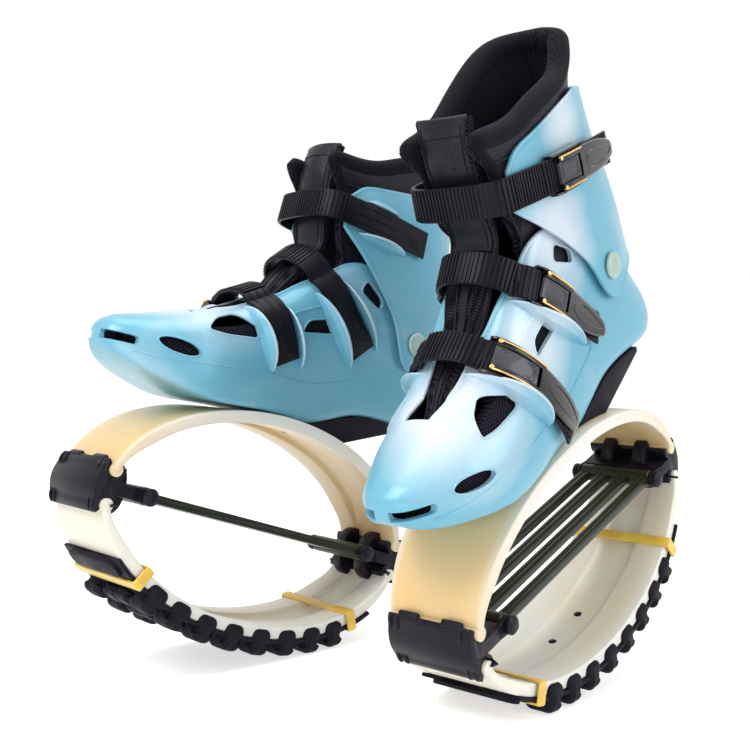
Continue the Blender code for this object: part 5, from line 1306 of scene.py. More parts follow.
# Joints, pins and springs
def make_joints(detail):
    half = JOINT_WIDTH / 2.0
    outline = claw_outline() + [(x, -z) for x, z in reversed(claw_outline()[1:])]
    parts = [mesh_part(plate("joint", outline, -half, half, EDGE_ROUND))]
    outline = fluke_outline(UPPER_BOW_HEIGHT) + [(x, -z) for x, z in reversed(fluke_outline(LOWER_BOW_HEIGHT))]
    for near, far in FLUKE_PLATES:
        parts.append(mesh_part(plate("fluke", outline, near * half, far * half, EDGE_ROUND)))
    for sign in (-1.0, 1.0):
        near, far = sign * (half - EAR_WIDTH), sign * half
        shape = [(PIN_X + EAR_RADIUS * 2.2, EAR_RADIUS * 0.75)]
        shape += arc_points((PIN_X, 0.0), EAR_RADIUS, math.pi / 2.0, 1.5 * math.pi, 16)
        shape.append((PIN_X + EAR_RADIUS * 2.2, -EAR_RADIUS * 0.75))
        parts.append(mesh_part(plate("ear", shape, min(near, far), max(near, far), EDGE_ROUND)))
    centre = (BEAD_X, BEAD_HEIGHT)
    outside = BEAD_RADIUS + CLEARANCE + CLAW_WALL
    for share in (-0.93, -0.76, 0.76, 0.93):
        path = []
        for sign in (1.0, -1.0):
            arc = arc_points(centre, outside, 0.0, CLAW_LIP_ANGLE * 0.9, 8)
            some = [Vector((x, half * share, sign * z)) for x, z in arc]
            path = some[::-1] + path if sign > 0.0 else path + some
        parts.append(bead(path, EDGE_ROUND * 1.5, 8, taper=True))
    lift = outside * math.sin(CLAW_LIP_ANGLE)
    for sign in (-1.0, 1.0):
        hump = block((outside * 0.55, JOINT_WIDTH * 0.24, outside * 0.42), (0.0, 0.0, 0.0), EDGE_ROUND * 1.6, 3)
        turn = Matrix.Rotation(math.radians(38.0), 4, "Y")
        parts.append(moved(hump, Matrix.Translation((BEAD_X + outside * 0.56, half * 0.52 * sign,
                                                      BEAD_HEIGHT + lift * 0.93)) @ turn))
    lip = [(0.0, 0.47), (0.5, 0.50), (0.86, 0.60), (1.0, 0.52), (1.0, 0.0)]
    depth = outside * 1.7
    shape = [(u * depth, v * JOINT_WIDTH) for u, v in lip] + [(u * depth, -v * JOINT_WIDTH) for u, v in reversed(lip)]
    tongue = plate("lip", [(x, z) for x, z in shape], -EDGE_ROUND, EDGE_ROUND, EDGE_ROUND * 0.5)
    tongue.transform(Matrix.Rotation(math.pi / 2.0, 4, "X"))
    tongue.transform(Matrix.Translation((BEAD_X + outside * 0.75, 0.0, -BEAD_HEIGHT - lift * 0.70))
                     @ Matrix.Rotation(math.radians(180.0 + 28.0), 4, "Y"))
    parts.append(mesh_part(tongue))
    for name, mirrored in (("front_joint", False), ("rear_joint", True)):
        dress(at_end(make_mesh(name, parts, weld=False), mirrored), name, "tension", [LOOKS["joint"]],
              name)


def at_end(mesh, mirrored):
    """Leaves a toe-end mesh as it is or mirrors it to the heel end."""
    if mirrored:
        mesh.transform(Matrix.Scale(-1.0, 4, (1.0, 0.0, 0.0)))
        mesh.flip_normals()
    return mesh


def claw_outline():
    """Half of a joint's side view at the toe end, from its nose round the claw to the stem."""
    centre = (BEAD_X, BEAD_HEIGHT)
    socket = BEAD_RADIUS + CLEARANCE
    outside = socket + CLAW_WALL
    points = []
    for share in spread(0.0, 1.0, 5):
        points.append((BEAD_X + outside + NOSE_BULGE * math.cos(math.pi * share / 2.0), BEAD_HEIGHT * share))
    points += arc_points(centre, outside, 0.0, CLAW_LIP_ANGLE, 8)[1:]
    points += arc_points(centre, socket, CLAW_LIP_ANGLE, -CLAW_TURN_ANGLE, 24)
    low = math.asin((BEAD_HEIGHT - STEM_HALF_THICKNESS) / outside)
    points += arc_points(centre, outside, -CLAW_TURN_ANGLE, low - math.pi, 8)
    points.append((PIN_X + BARREL_RADIUS + CLEARANCE, STEM_HALF_THICKNESS))
    return points


def fluke_outline(height):
    """Half of a fluke's side view, from the back of the claw along the bow and down to the stem."""
    outside = BEAD_RADIUS + CLEARANCE + CLAW_WALL
    points = [(BEAD_X - outside * 0.5, STEM_HALF_THICKNESS * 0.5), (BEAD_X - outside * 0.85, BEAD_HEIGHT)]
    for reach in spread(FLUKE_START, FLUKE_TIP, 5):
        angle = math.asin(reach / height)
        place = bow_point(angle, -BOW_THICKNESS / 2.0 - bow_rim(angle) - 1.5 * CLEARANCE, 0.0, height, 1.0)
        points.append((place.x, place.z))
    tip_x, tip_z = points[-1]
    for turn in spread(0.0, math.pi / 2.0, 10)[1:]:
        x = tip_x - FLUKE_DEPTH * math.sin(turn)
        z = tip_z - (tip_z - STEM_HALF_THICKNESS) * (1.0 - math.cos(turn))
        points.append((x, z))
    points.append((tip_x - FLUKE_DEPTH, STEM_HALF_THICKNESS * 0.5))
    return points


def make_pins(detail):
    half = JOINT_WIDTH / 2.0 + CLEARANCE
    knob = [(0.0, -half - PIN_KNOB_LENGTH), (PIN_KNOB_RADIUS * 0.62, -half - PIN_KNOB_LENGTH)]
    knob += [(PIN_KNOB_RADIUS * 0.7, -half - PIN_KNOB_LENGTH * 0.92), (PIN_KNOB_RADIUS, -half - PIN_KNOB_LENGTH * 0.6)]
    knob += [(PIN_KNOB_RADIUS, -half - PIN_KNOB_LENGTH * 0.1), (PIN_KNOB_RADIUS * 0.94, -half), (PIN_RADIUS, -half)]
    profile = knob + [(radius, -y) for radius, y in reversed(knob)]
    points, faces = turned(profile, 24)
    spin = Matrix.Translation((PIN_X, 0.0, 0.0)) @ Matrix.Rotation(-math.pi / 2.0, 4, "X")
    for name, mirrored in (("front_pin", False), ("rear_pin", True)):
        mesh = make_mesh(name, [moved((points, faces), spin)], weld=False)
        dress(at_end(mesh, mirrored), name, "tension", [LOOKS["joint"]], name)


def make_springs(detail):
    """Four elastic bars between two cross barrels."""
    half = JOINT_WIDTH / 2.0 - EAR_WIDTH - CLEARANCE
    parts = []
    for side_x in (-1.0, 1.0):
        barrel = turned([(BARREL_RADIUS * 0.85, -half), (BARREL_RADIUS, -half * 0.97), (BARREL_RADIUS, half * 0.97),
                         (BARREL_RADIUS * 0.85, half)], 28)
        parts.append(moved(barrel, Matrix.Translation((side_x * PIN_X, 0.0, 0.0))
                           @ Matrix.Rotation(-math.pi / 2.0, 4, "X")))
    for k in range(STRAND_COUNT):
        y = (k - (STRAND_COUNT - 1) / 2.0) * STRAND_PITCH
        rings = []
        for x in spread(-PIN_X, PIN_X, 40):
            swell = 1.0 + 0.28 * smooth_step((abs(x) / PIN_X - 0.86) / 0.12)
            wide, tall = STRAND_RADIUS * swell, STRAND_RADIUS * 0.86
            corners = [(wide, tall), (wide * 0.25, tall), (0.0, tall * 0.72), (-wide * 0.25, tall), (-wide, tall)]
            corners += [(-wide, -tall), (-wide * 0.25, -tall), (0.0, -tall * 0.72), (wide * 0.25, -tall), (wide, -tall)]
            rings.append([Vector((x, y + u, v)) for u, v in rounded(corners, EDGE_ROUND, 2)])
        parts.append(skin(rings))
    dress(make_mesh("tension_spring", parts, weld=False), "tension_spring", "tension", [LOOKS["strand"]],
          "tension_spring")


# The shell, its openings, rims and guards
def shell_row(share, wall, rows):
    low = sole_z(share) + wall
    closed = share >= THROAT_END_SHARE
    high = top_z(share) - (wall if closed else 0.0)
    half = [section_point(share, low + (high - low) * part, wall) for part in rows]
    if closed:
        half[-1] = (half[-1][0], 0.0, high)
    return closed_row(half)


def oval(centre, half_length, half_height, slope, steps=28):
    points = []
    for k in range(steps):
        angle = 2.0 * math.pi * k / steps
        u = half_length * math.copysign(abs(math.cos(angle)) ** 0.85, math.cos(angle))
        v = half_height * math.copysign(abs(math.sin(angle)) ** 1.15, math.sin(angle))
        points.append((centre[0] + u * math.cos(slope) - v * math.sin(slope),
                       centre[1] + u * math.sin(slope) + v * math.cos(slope)))
    return points


def window_outlines():
    """The shell's openings in side view, front to back."""
    found = {"vent": oval((VENT_X, VENT_Z), VENT_HALF_LENGTH, VENT_HALF_HEIGHT, VENT_SLOPE_ANGLE)}
    for name, corners in (("window", DROP_WINDOW_SHARES), ("rear_window", REAR_WINDOW_SHARES),
                          ("ankle_window", TALL_WINDOW_SHARES)):
        found[name] = [tuple(p) for p in rounded([boot_place(*corner) for corner in corners], WINDOW_ROUND, 5)]
    return found


def on_shell(x, z, sign, lift=0.0):
    """A point on the shell's outside at a place in side view."""
    share = shell_share(x)
    z = min(max(z, sole_z(share)), top_z(share))
    return lean_in(x, sign * (side_y(share, z) + lift), z)


def crown_point(share, offset):
    """The point on the shell's top at an offset from its middle line."""
    x = HEEL_X + SHELL_LENGTH * share
    high = top_z(share)
    low = sole_z(share) + WIDEST_HEIGHT
    middle = lean_in(x, 0.0, high).y
    sign = math.copysign(1.0, offset)
    for _ in range(24):
        z = (low + high) / 2.0
        if sign * (lean_in(x, sign * side_y(share, z), z).y - middle) > abs(offset):
            low = z
        else:
            high = z
    return Vector((x, middle + offset, (low + high) / 2.0))


def throat_cutter():
    """A prism that squares the front end of the throat, and the path of its rim along the shell."""
    corners = [(HEEL_X + SHELL_LENGTH * share, offset) for share, offset in THROAT_END_CORNERS]
    line = [Vector(corners[0])] + [Vector(p) for p in rounded(corners, THROAT_END_ROUND, 4)[5:-5]] + [Vector(corners[-1])]
    rim = []
    for a, b in zip(line, line[1:]):
        rim += [a.lerp(b, t / 6.0) for t in range(6)]
    rim = [crown_point(shell_share(x), offset) for x, offset in rim + [line[-1]]]
    high = max(point.z for point in rim) + THROAT_CUT_DEPTH
    low = min(point.z for point in rim) - THROAT_CUT_DEPTH
    rings = [[Vector((point.x, point.y, z)) for point in rim] for z in (low, high)]
    return make_mesh("throat_cutter", [skin(rings)]), [point - Vector((0.0, 0.0, SHELL_WALL / 2.0)) for point in rim]


def make_shells(detail):
    stations = eased(SHELL_STEPS)
    rows = eased(detail.shell_rows)
    outer = [shell_row(share, 0.0, rows) for share in stations]
    inner = [shell_row(share, SHELL_WALL, rows) for share in stations]
    body = make_mesh("shell", [slab(outer, inner, ends_open=False)])
    reach = SHELL_HALF_WIDTH * 1.4
    outlines = window_outlines()
    tools = [plate(f"{name}_cutter", outline, -reach, reach) for name, outline in outlines.items()]
    slot = rounded([(TOE_SLOT_START, TOE_SLOT_Z - TOE_SLOT_HEIGHT / 2.0), (TOE_X * 1.05, TOE_SLOT_Z - TOE_SLOT_HEIGHT * 0.62),
                    (TOE_X * 1.05, TOE_SLOT_Z + TOE_SLOT_HEIGHT * 0.5), (TOE_SLOT_START, TOE_SLOT_Z + TOE_SLOT_HEIGHT / 2.0)],
                   TOE_SLOT_HEIGHT * 0.45, 5)
    for sign in (-1.0, 1.0):
        ends = sorted((sign * TOE_SLOT_BRIDGE, sign * reach))
        tools.append(plate("slot_cutter", [tuple(p) for p in slot], *ends))
    squared, front = throat_cutter()
    body = cut(body, tools + [squared])
    parts = [mesh_part(body)]
    throat = []
    for sign in (-1.0, 1.0):
        side = []
        for share in spread(SHAFT_END_SHARE * 0.84, THROAT_END_CORNERS[0][0] - 0.004, 50):
            x, y, z = section_point(share, top_z(share), SHELL_WALL / 2.0)
            side.append(lean_in(x, sign * y, z))
        throat += side + front if sign < 0.0 else side[::-1]
    parts.append(bead(smoothed(throat, 1), SHELL_WALL * 0.56, 10))
    for sign in (-1.0, 1.0):
        for outline in outlines.values():
            path = [on_shell(x, z, sign) for x, z in outline]
            parts.append(bead(path, RIM_BEAD, 6, closed=True))
        line = []
        for share in spread(PARTING_SHARES[0][0], PARTING_SHARES[-1][0], 90):
            z = SOLE_Z + SHELL_HEIGHT * read_table(PARTING_SHARES, share)
            x, y, z = section_point(share, z, 0.0)
            line.append(lean_in(x, sign * y, z))
        parts.append(bead(line, RIM_BEAD * 0.8, 6))
        line = []
        for share in spread(SWEEP_SHARES[0][0], SWEEP_SHARES[-1][0], 50):
            z = SOLE_Z + SHELL_HEIGHT * read_table(SWEEP_SHARES, share)
            x, y, z = section_point(share, z, 0.0)
            line.append(lean_in(x, sign * y, z))
        parts.append(bead(line, RIM_BEAD * 1.3, 8, taper=True))
    dress(make_mesh("shell", parts, weld=False), "shell", "boot", [LOOKS["pearl"]], "shell")


def skin_place(strap, x, z, sign):
    """A point on what a strap lies on, and the direction off it."""
    def point(u, v):
        return lean_in(u, sign * outside_y(strap, u, v), v)

    along = point(x + GUARD_TIP, z) - point(x - GUARD_TIP, z)
    up = point(x, z + GUARD_TIP) - point(x, z - GUARD_TIP)
    return point(x, z), along.cross(up).normalized() * -sign


def guard(strap, sign, side, start, end, height):
    """A crescent guard beside a strap: a thin blade that curls over the strap and fades at both ends."""
    fall = Vector(STRAP_SHARES[strap]["fall"]).normalized()
    across = Vector((-fall.y, fall.x))
    rings = []
    crest = []
    for t in spread(0.0, 1.0, 36):
        swell = math.sin(math.pi * t) ** 0.7
        offset = side * (STRAP_WIDTH / 2.0 + GUARD_GAP + GUARD_BOW * swell)
        x, z = Vector(strap_top(strap)) + across * offset + fall * SHELL_HEIGHT * (start + (end - start) * t)
        place, normal = skin_place(strap, x, z, sign)
        inward = Vector((-across.x * side, 0.0, -across.y * side))
        inward = (inward - normal * inward.dot(normal)).normalized()
        tall = height * swell
        thick = GUARD_THICKNESS * (0.4 + 0.6 * swell)
        corners = [(-thick, -GUARD_ROOT), (thick, -GUARD_ROOT), (thick * 0.8 + GUARD_LEAN * swell * 0.4, tall * 0.6),
                   (GUARD_LEAN * swell + GUARD_TIP, tall), (GUARD_LEAN * swell - GUARD_TIP, tall),
                   (GUARD_LEAN * swell * 0.4 - thick * 0.8, tall * 0.6)]
        rings.append([place + inward * u + normal * v for u, v in rounded(corners, GUARD_TIP, 3)])
        crest.append(place + inward * GUARD_LEAN * swell + normal * tall)
    return skin(rings), bead(crest, GUARD_RIM, 8, taper=True)


def make_guards(detail):
    """The guards that stand beside each strap on both sides of the boot."""
    for key, rows in GUARDS.items():
        blades = [guard(strap, sign, side, start, end, height * detail.guard_height)
                  for strap, sign, side, start, end, height in rows]
        # The crest beads take the rim look, a lighter pearl painted as a highlight along each guard's crest.
        for name, look, parts in (("guards", "pearl", [blade for blade, _ in blades]),
                                  ("guard_rims", "rim", [rim for _, rim in blades])):
            dress(make_mesh(f"{key}_{name}", parts, weld=False), f"{key}_{name}", key, [LOOKS[look]])


# The cuff and its rivets
def make_cuffs(detail):
    shares = eased(CUFF_STEPS)
    outer = []
    inner = []
    for sign, order in ((1.0, list(reversed(shares))), (-1.0, shares[1:])):
        for share in order:
            row = [cuff_place(share, k / CUFF_FINE_ROWS) for k in range(CUFF_FINE_ROWS + 1)]
            if share > 0.0:
                outer.append([lean_in(x, sign * (y + CUFF_WALL * cuff_skin(share)), z) for x, y, z in row])
            else:
                outer.append([lean_in(x - CUFF_WALL, 0.0, z) for x, y, z in row])
            inner.append([lean_in(x, sign * y, z) for x, y, z in row])
    parts = [slab(outer, inner)]
    edge = []
    count = len(outer)
    for k in range(count):
        edge.append((outer[k][-1] + inner[k][-1]) / 2.0)
    low = [(outer[k][0] + inner[k][0]) / 2.0 for k in range(count)]
    front = [(a + b) / 2.0 for a, b in zip(outer[0], inner[0])]
    back = [(a + b) / 2.0 for a, b in zip(outer[-1], inner[-1])]
    path = edge + list(reversed(back))[1:] + list(reversed(low))[1:] + front[1:-1]
    parts.append(bead(path, CUFF_WALL * 0.66, 10, closed=True))
    dress(make_mesh("cuff", parts, weld=False), "cuff", "cuff", [LOOKS["pearl"]], "cuff")


def cuff_skin(share):
    """The cuff's wall thins to nothing where its two sides meet at the heel."""
    return min(1.0, math.sqrt(share / 0.04))


def make_rivets(detail):
    cuff_share = (ANKLE_X - CUFF_HEEL_X) / CUFF_LENGTH
    seat_y = cuff_place(cuff_share, 0.1)[1] + CUFF_WALL + 3.0 * CLEARANCE
    dome = [(0.0, -CUFF_WALL), (RIVET_RADIUS * RIVET_SHANK_SHARE, -CUFF_WALL), (RIVET_RADIUS * RIVET_SHANK_SHARE, 0.0)]
    dome += [(RIVET_RADIUS, 0.0), (RIVET_RADIUS * 1.02, RIVET_HEAD * 0.3)]
    dome += [(RIVET_RADIUS * math.cos(t), RIVET_HEAD * (0.35 + 0.75 * math.sin(t))) for t in spread(0.25, math.pi / 2.0, 8)]
    for name, sign in (("outer_ankle_rivet", 1.0), ("inner_ankle_rivet", -1.0)):
        seat = lean_in(ANKLE_X, sign * seat_y, ANKLE_Z)
        spin = Matrix.Translation(seat) @ Matrix.Rotation(-sign * math.pi / 2.0, 4, "X")
        mesh = make_mesh(name, [moved(turned(dome, 32), spin)], weld=False)
        dress(mesh, name, "boot", [LOOKS["rivet"]], name)


# The inner boot
def liner_row(share, wall, with_shaft):
    """One cross section of the inner boot, with a shaft above the foot if it is asked for."""
    skin_depth = SHELL_WALL + LINER_GAP + wall
    toe = max(0.0, (share - LINER_TOE_SHARE) / (1.0 - LINER_TOE_SHARE))
    share = min(share, LINER_TOE_SHARE + toe * (LINER_END_SHARE - LINER_TOE_SHARE))
    low = sole_z(share) + skin_depth
    closed = share >= THROAT_END_SHARE
    brim = top_z(share) - (SHELL_WALL + TONGUE_THICKNESS + 2.0 * LINER_GAP + wall if closed else LINER_DROP)
    shell_low = sole_z(share) + SHELL_WALL
    shell_high = top_z(share) - (SHELL_WALL if closed else 0.0)
    half = []
    for part in eased(LINER_ROWS)[:-1]:
        z = shell_low + (shell_high - shell_low) * part
        half.append(section_point(share, min(max(z, low), brim - wall * BRIM_LIP_SHARE), skin_depth))
    last = section_point(share, shell_high, skin_depth)
    below = half[-1]
    t = (brim - below[2]) / (shell_high - below[2])
    draw = 1.0 if with_shaft else BRIM_DRAW_SHARE if share < BRIM_DRAW_END_SHARE else THROAT_DRAW_SHARE
    half.append((below[0], 0.0 if closed else (below[1] + (last[1] - below[1]) * t) * draw, brim))
    half = [(x, y * math.sqrt(max(0.0, 1.0 - toe * toe)), z) for x, y, z in half]
    if not with_shaft:
        return closed_row(half)
    inboard = half + shaft_side(share, skin_depth, wall, 0.0)
    outboard = half + shaft_side(share, skin_depth, wall, 1.0)
    row = closed_row(outboard)
    return row[:len(half) + SHAFT_ROWS + 1] + closed_row(inboard)[-len(inboard):]


def shaft_side(share, skin_depth, wall, drop):
    """One side of the shaft's cross section; drop lowers its rim where the collar dips outboard."""
    foot = top_z(share) + CLEARANCE
    level = read_table(RIM_SHARES, share) - drop * read_table(RIM_DROP_SHARES, share)
    top = COLLAR_TOP * level - COLLAR_ROLL * 1.3
    return [shaft_point(share, foot + (top - foot) * part, foot, skin_depth, wall)
            for part in spread(0.0, 1.0, SHAFT_ROWS - 1)]


def shaft_point(share, z, foot, skin_depth, wall):
    x, y, z = section_point(share, z, skin_depth)
    rise = (z - SOLE_Z - SHELL_HEIGHT) / (COLLAR_TOP - SOLE_Z - SHELL_HEIGHT)
    inset = wall * min(1.0, share / 0.03)
    narrow = read_table(COLLAR_WIDTH_SHARES, share)
    wide = read_table(COLLAR_ROUND_SHARES, share)
    opened = smooth_step((rise - COLLAR_ROUND_START_SHARE) / COLLAR_ROUND_SPAN_SHARE)
    collar = COLLAR_HALF_WIDTH * (narrow + (wide - narrow) * opened) - inset
    y += (max(collar, 0.0) - y) * smooth_step((z - foot) / WIDEST_HEIGHT)
    x += COLLAR_LEAN * read_table(COLLAR_LEAN_SHARES, rise) * smooth_step((0.45 - share) / 0.45)
    x += COLLAR_REACH * read_table(COLLAR_FRONT_SHARES, rise) * (share / SHAFT_END_SHARE) ** COLLAR_REACH_POWER
    return x, y, z


def make_liners(detail):
    """The inner boot: a foot part, a shaft with a padded roll round its collar, and piping."""
    stations = [SHAFT_END_SHARE * t for t in eased(LINER_STEPS)]
    outer = [liner_row(share, 0.0, True) for share in stations]
    inner = [liner_row(share, LINER_WALL, True) for share in stations]
    feet = spread(SHAFT_END_SHARE * 1.002, 1.0, LINER_STEPS)
    foot = slab([liner_row(share, 0.0, False) for share in feet],
                [liner_row(share, LINER_WALL, False) for share in feet])
    body = make_mesh("liner", [slab(outer, inner), foot])
    for face in body.polygons:
        face.material_index = int(face.center.x > HEEL_X + SHELL_LENGTH * SHAFT_END_SHARE)
    dress(body, "liner", "boot", [LOOKS["leather"], LOOKS["mesh"]], "liner", "ankle")
    walk = [(k, 1) for k in reversed(range(len(stations)))] + [(k, -1) for k in range(1, len(stations))]

    def at(grid, k, way, step):
        return grid[k][step] if way > 0 else grid[k][-1 - step]

    def lifted(k, way, step, lift):
        here = at(outer, k, way, step)
        return here + (here - at(inner, k, way, step)).normalized() * lift

    over = []
    under = []
    for k, way in walk:
        over.append([lifted(k, way, n, BAND_PUFF * math.sin(math.pi * (n + 2.0) / (COLLAR_BAND_ROWS + 2.0)) ** 0.6)
                     for n in range(COLLAR_BAND_ROWS + 1)])
        under.append([lifted(k, way, n, -BAND_PUFF) for n in range(COLLAR_BAND_ROWS + 1)])
    lining = []
    hidden = []
    for k, way in walk:
        rows = range(SHAFT_ROWS)
        hidden.append([at(inner, k, way, n).lerp(at(outer, k, way, n), 0.1) for n in rows])
        lining.append([at(inner, k, way, n).lerp(at(outer, k, way, n), -0.05) for n in rows])
    rim = [(at(outer, k, way, 0) + at(inner, k, way, 0)) / 2.0 for k, way in walk]
    sides = []
    for k, way in (walk[0], walk[-1]):
        sides.append([(at(outer, k, way, n) + at(inner, k, way, n)) / 2.0 for n in range(1, COLLAR_EDGE_ROWS)])
    path = smoothed(sides[0][::-1] + rim + sides[1], 4)
    for name, look, parts in (("band", "leather", [slab(over, under)]),
                              ("roll", "textile", [slab(lining, hidden), rolled(path)])):
        dress(make_mesh(f"collar_{name}", parts, weld=False), f"collar_{name}", "boot", [LOOKS[look]],
              None, "ankle")
    seam = [lifted(k, way, COLLAR_BAND_ROWS, PIPING_RADIUS * 0.4) for k, way in walk]
    edges = []
    for k, way in (walk[0], walk[-1]):
        edges.append([lifted(k, way, n, 0.0) for n in range(COLLAR_BAND_ROWS, SHAFT_ROWS)])
    piping = [bead(smoothed(seam, 1), PIPING_RADIUS, 8)] + [bead(edge, PIPING_RADIUS, 8) for edge in edges]
    dress(make_mesh("piping", piping, weld=False), "collar_piping", "boot", [LOOKS["leather"]], None,
          "ankle")


def rolled(path):
    """The padded roll along the collar's edge, thickest behind the ankle and thin at its ends."""
    rings = []
    count = len(path)
    normal = Vector((0.0, 1.0, 0.0))
    for k, point in enumerate(path):
        along = (path[min(k + 1, count - 1)] - path[max(k - 1, 0)]).normalized()
        normal = (normal - along * normal.dot(along)).normalized()
        other = along.cross(normal)
        t = k / (count - 1.0)
        reach = COLLAR_ROLL * (0.5 + 0.5 * smooth_step(min(t, 1.0 - t) / 0.16))
        ring = []
        for j in range(18):
            turn = 2.0 * math.pi * j / 18
            ring.append(point + normal * reach * math.cos(turn) + other * reach * math.sin(turn))
        rings.append(ring)
    return skin(rings)


def smoothed(path, times):
    for _ in range(times):
        path = [path[0]] + [(path[k - 1] + path[k] * 2.0 + path[k + 1]) / 4.0 for k in range(1, len(path) - 1)] + [path[-1]]
    return path


def curve_through(points, steps):
    """A Catmull-Rom curve through points, with a number of steps between each two."""
    found = []
    for k in range(len(points) - 1):
        a = points[max(k - 1, 0)]
        b = points[k]
        c = points[k + 1]
        d = points[min(k + 2, len(points) - 1)]
        for j in range(steps):
            t = j / steps
            found.append(0.5 * (2.0 * b + (c - a) * t + (2.0 * a - 5.0 * b + 4.0 * c - d) * t * t
                                + (3.0 * b - a - 3.0 * c + d) * t ** 3))
    found.append(points[-1].copy())
    return found


def tongue_rows():
    places = [Vector((x, 0.0, z)) for x, z in (boot_place(*shares) for shares in TONGUE_PATH_SHARES)]
    path = curve_through(places, 6)
    rows = []
    for k, point in enumerate(path):
        along = (path[min(k + 1, len(path) - 1)] - path[max(k - 1, 0)]).normalized()
        puff = math.sin(math.pi * min(max((point.z - PUFF_FROM_Z) / PUFF_RISE, 0.0), 1.0)) ** 0.7
        rows.append((point, Vector((along.z, 0.0, -along.x)), read_table(TONGUE_WIDTH_SHARES, k / (len(path) - 1.0)),
                     TONGUE_PUFF * puff))
    return rows


def tongue_point(row, across, lift):
    point, normal, width, puff = row
    bulge = (TONGUE_BULGE * width ** 2 + puff) * (1.0 - across * across)
    return lean_in(*(point + Vector((0.0, TONGUE_HALF_WIDTH * width * across, 0.0)) + normal * (bulge + lift)))


def make_tongues(detail):
    rows = tongue_rows()
    columns = spread(-1.0, 1.0, 20)
    outer = []
    inner = []
    last = len(rows) - 1
    for k, row in enumerate(rows):
        outer.append([tongue_point(row, a, 0.0) for a in columns])
        inner.append([tongue_point(row, a, -TONGUE_THICKNESS + TONGUE_BULGE * 0.3) for a in columns])
    cloth = make_mesh("tongue", [slab(outer, inner)])
    dress(cloth, "tongue", "boot", [LOOKS["mesh"]], "tongue", "ankle")
    trim = []
    for across in (-0.36, 0.36, -0.97, 0.97):
        trim.append(bead([tongue_point(row, across, EDGE_ROUND * 0.4) for row in rows[:-2]], PIPING_RADIUS, 8, flat=0.7))
    top = [tongue_point(rows[last], a * 0.90, -TONGUE_THICKNESS * 0.3) for a in columns]
    trim.append(bead(top, TONGUE_THICKNESS * 0.48, 10))
    patch_rows = rows[int(last * TONGUE_PATCH_SHARE):]
    wide = [a * 0.86 for a in columns]
    over = [[tongue_point(row, a, EDGE_ROUND * (1.0 if abs(a) < 0.8 else 0.2)) for a in wide] for row in patch_rows]
    under = [[tongue_point(row, a, -EDGE_ROUND) for a in wide] for row in patch_rows]
    strip = [a * 0.16 for a in columns]
    trim.append(slab(over, under))
    low_rows = rows[2:int(last * TONGUE_PATCH_SHARE) + 1]
    over = [[tongue_point(row, a, EDGE_ROUND * 0.8) for a in strip] for row in low_rows]
    under = [[tongue_point(row, a, -EDGE_ROUND) for a in strip] for row in low_rows]
    trim.append(slab(over, under))
    dress(make_mesh("tongue_trim", trim, weld=False), "tongue_trim", "boot", [LOOKS["leather"]],
          None, "ankle")
    places = []
    for across in (-0.74, 0.74):
        for a, b in zip(patch_rows[1:-2], patch_rows[2:-1]):
            for t in (0.0, 0.5):
                here = tongue_point(a, across, EDGE_ROUND).lerp(tongue_point(b, across, EDGE_ROUND), t)
                ahead = tongue_point(b, across, EDGE_ROUND) - tongue_point(a, across, EDGE_ROUND)
                places.append(frame_at(here, ahead, a[1]))
    row = patch_rows[-4]
    for a in spread(-0.70, 0.70, 22):
        here = tongue_point(row, a, EDGE_ROUND)
        places.append(frame_at(here, tongue_point(row, a + 0.01, EDGE_ROUND) - here, row[1]))
    unit = make_mesh("stitch", [block((detail.stitch_length, detail.stitch_length * 0.34, detail.stitch_length * 0.3), (0.0, 0.0, 0.0),
                                      detail.stitch_length * 0.12)])
    unit.materials.append(LOOKS["stitch"])
    dress(repeat("tongue_stitches", unit, places), "tongue_stitches", "boot", [LOOKS["stitch"]],
          None, "ankle")


# Straps and buckles
def strap_span(strap):
    lengths = LINES[strap][1][1]
    return lengths[0], lengths[-1]


def strap_body(strap):
    first, last = strap_span(strap)
    rings = []
    half = STRAP_WIDTH / 2.0
    for along in spread(first, last, STRAP_FINE_STEPS):
        lift = SURFACE_GAP + strap_lift(strap, along)
        corners = [(-half, lift), (half, lift), (half, lift + STRAP_THICKNESS), (half * 0.88, lift + STRAP_THICKNESS)]
        corners += [(-half * 0.88, lift + STRAP_THICKNESS), (-half, lift + STRAP_THICKNESS)]
        rings.append([strap_point(strap, along, u, v) for u, v in rounded(corners, STRAP_THICKNESS * 0.3, 2)])
    return skin(rings)


def strap_frame(strap, along, across, lift):
    here = strap_point(strap, along, across, lift)
    ahead = strap_point(strap, along + STRAP_THICKNESS, across, lift)
    above = strap_point(strap, along, across, lift + STRAP_THICKNESS)
    return frame_at(here, ahead - here, above - here)


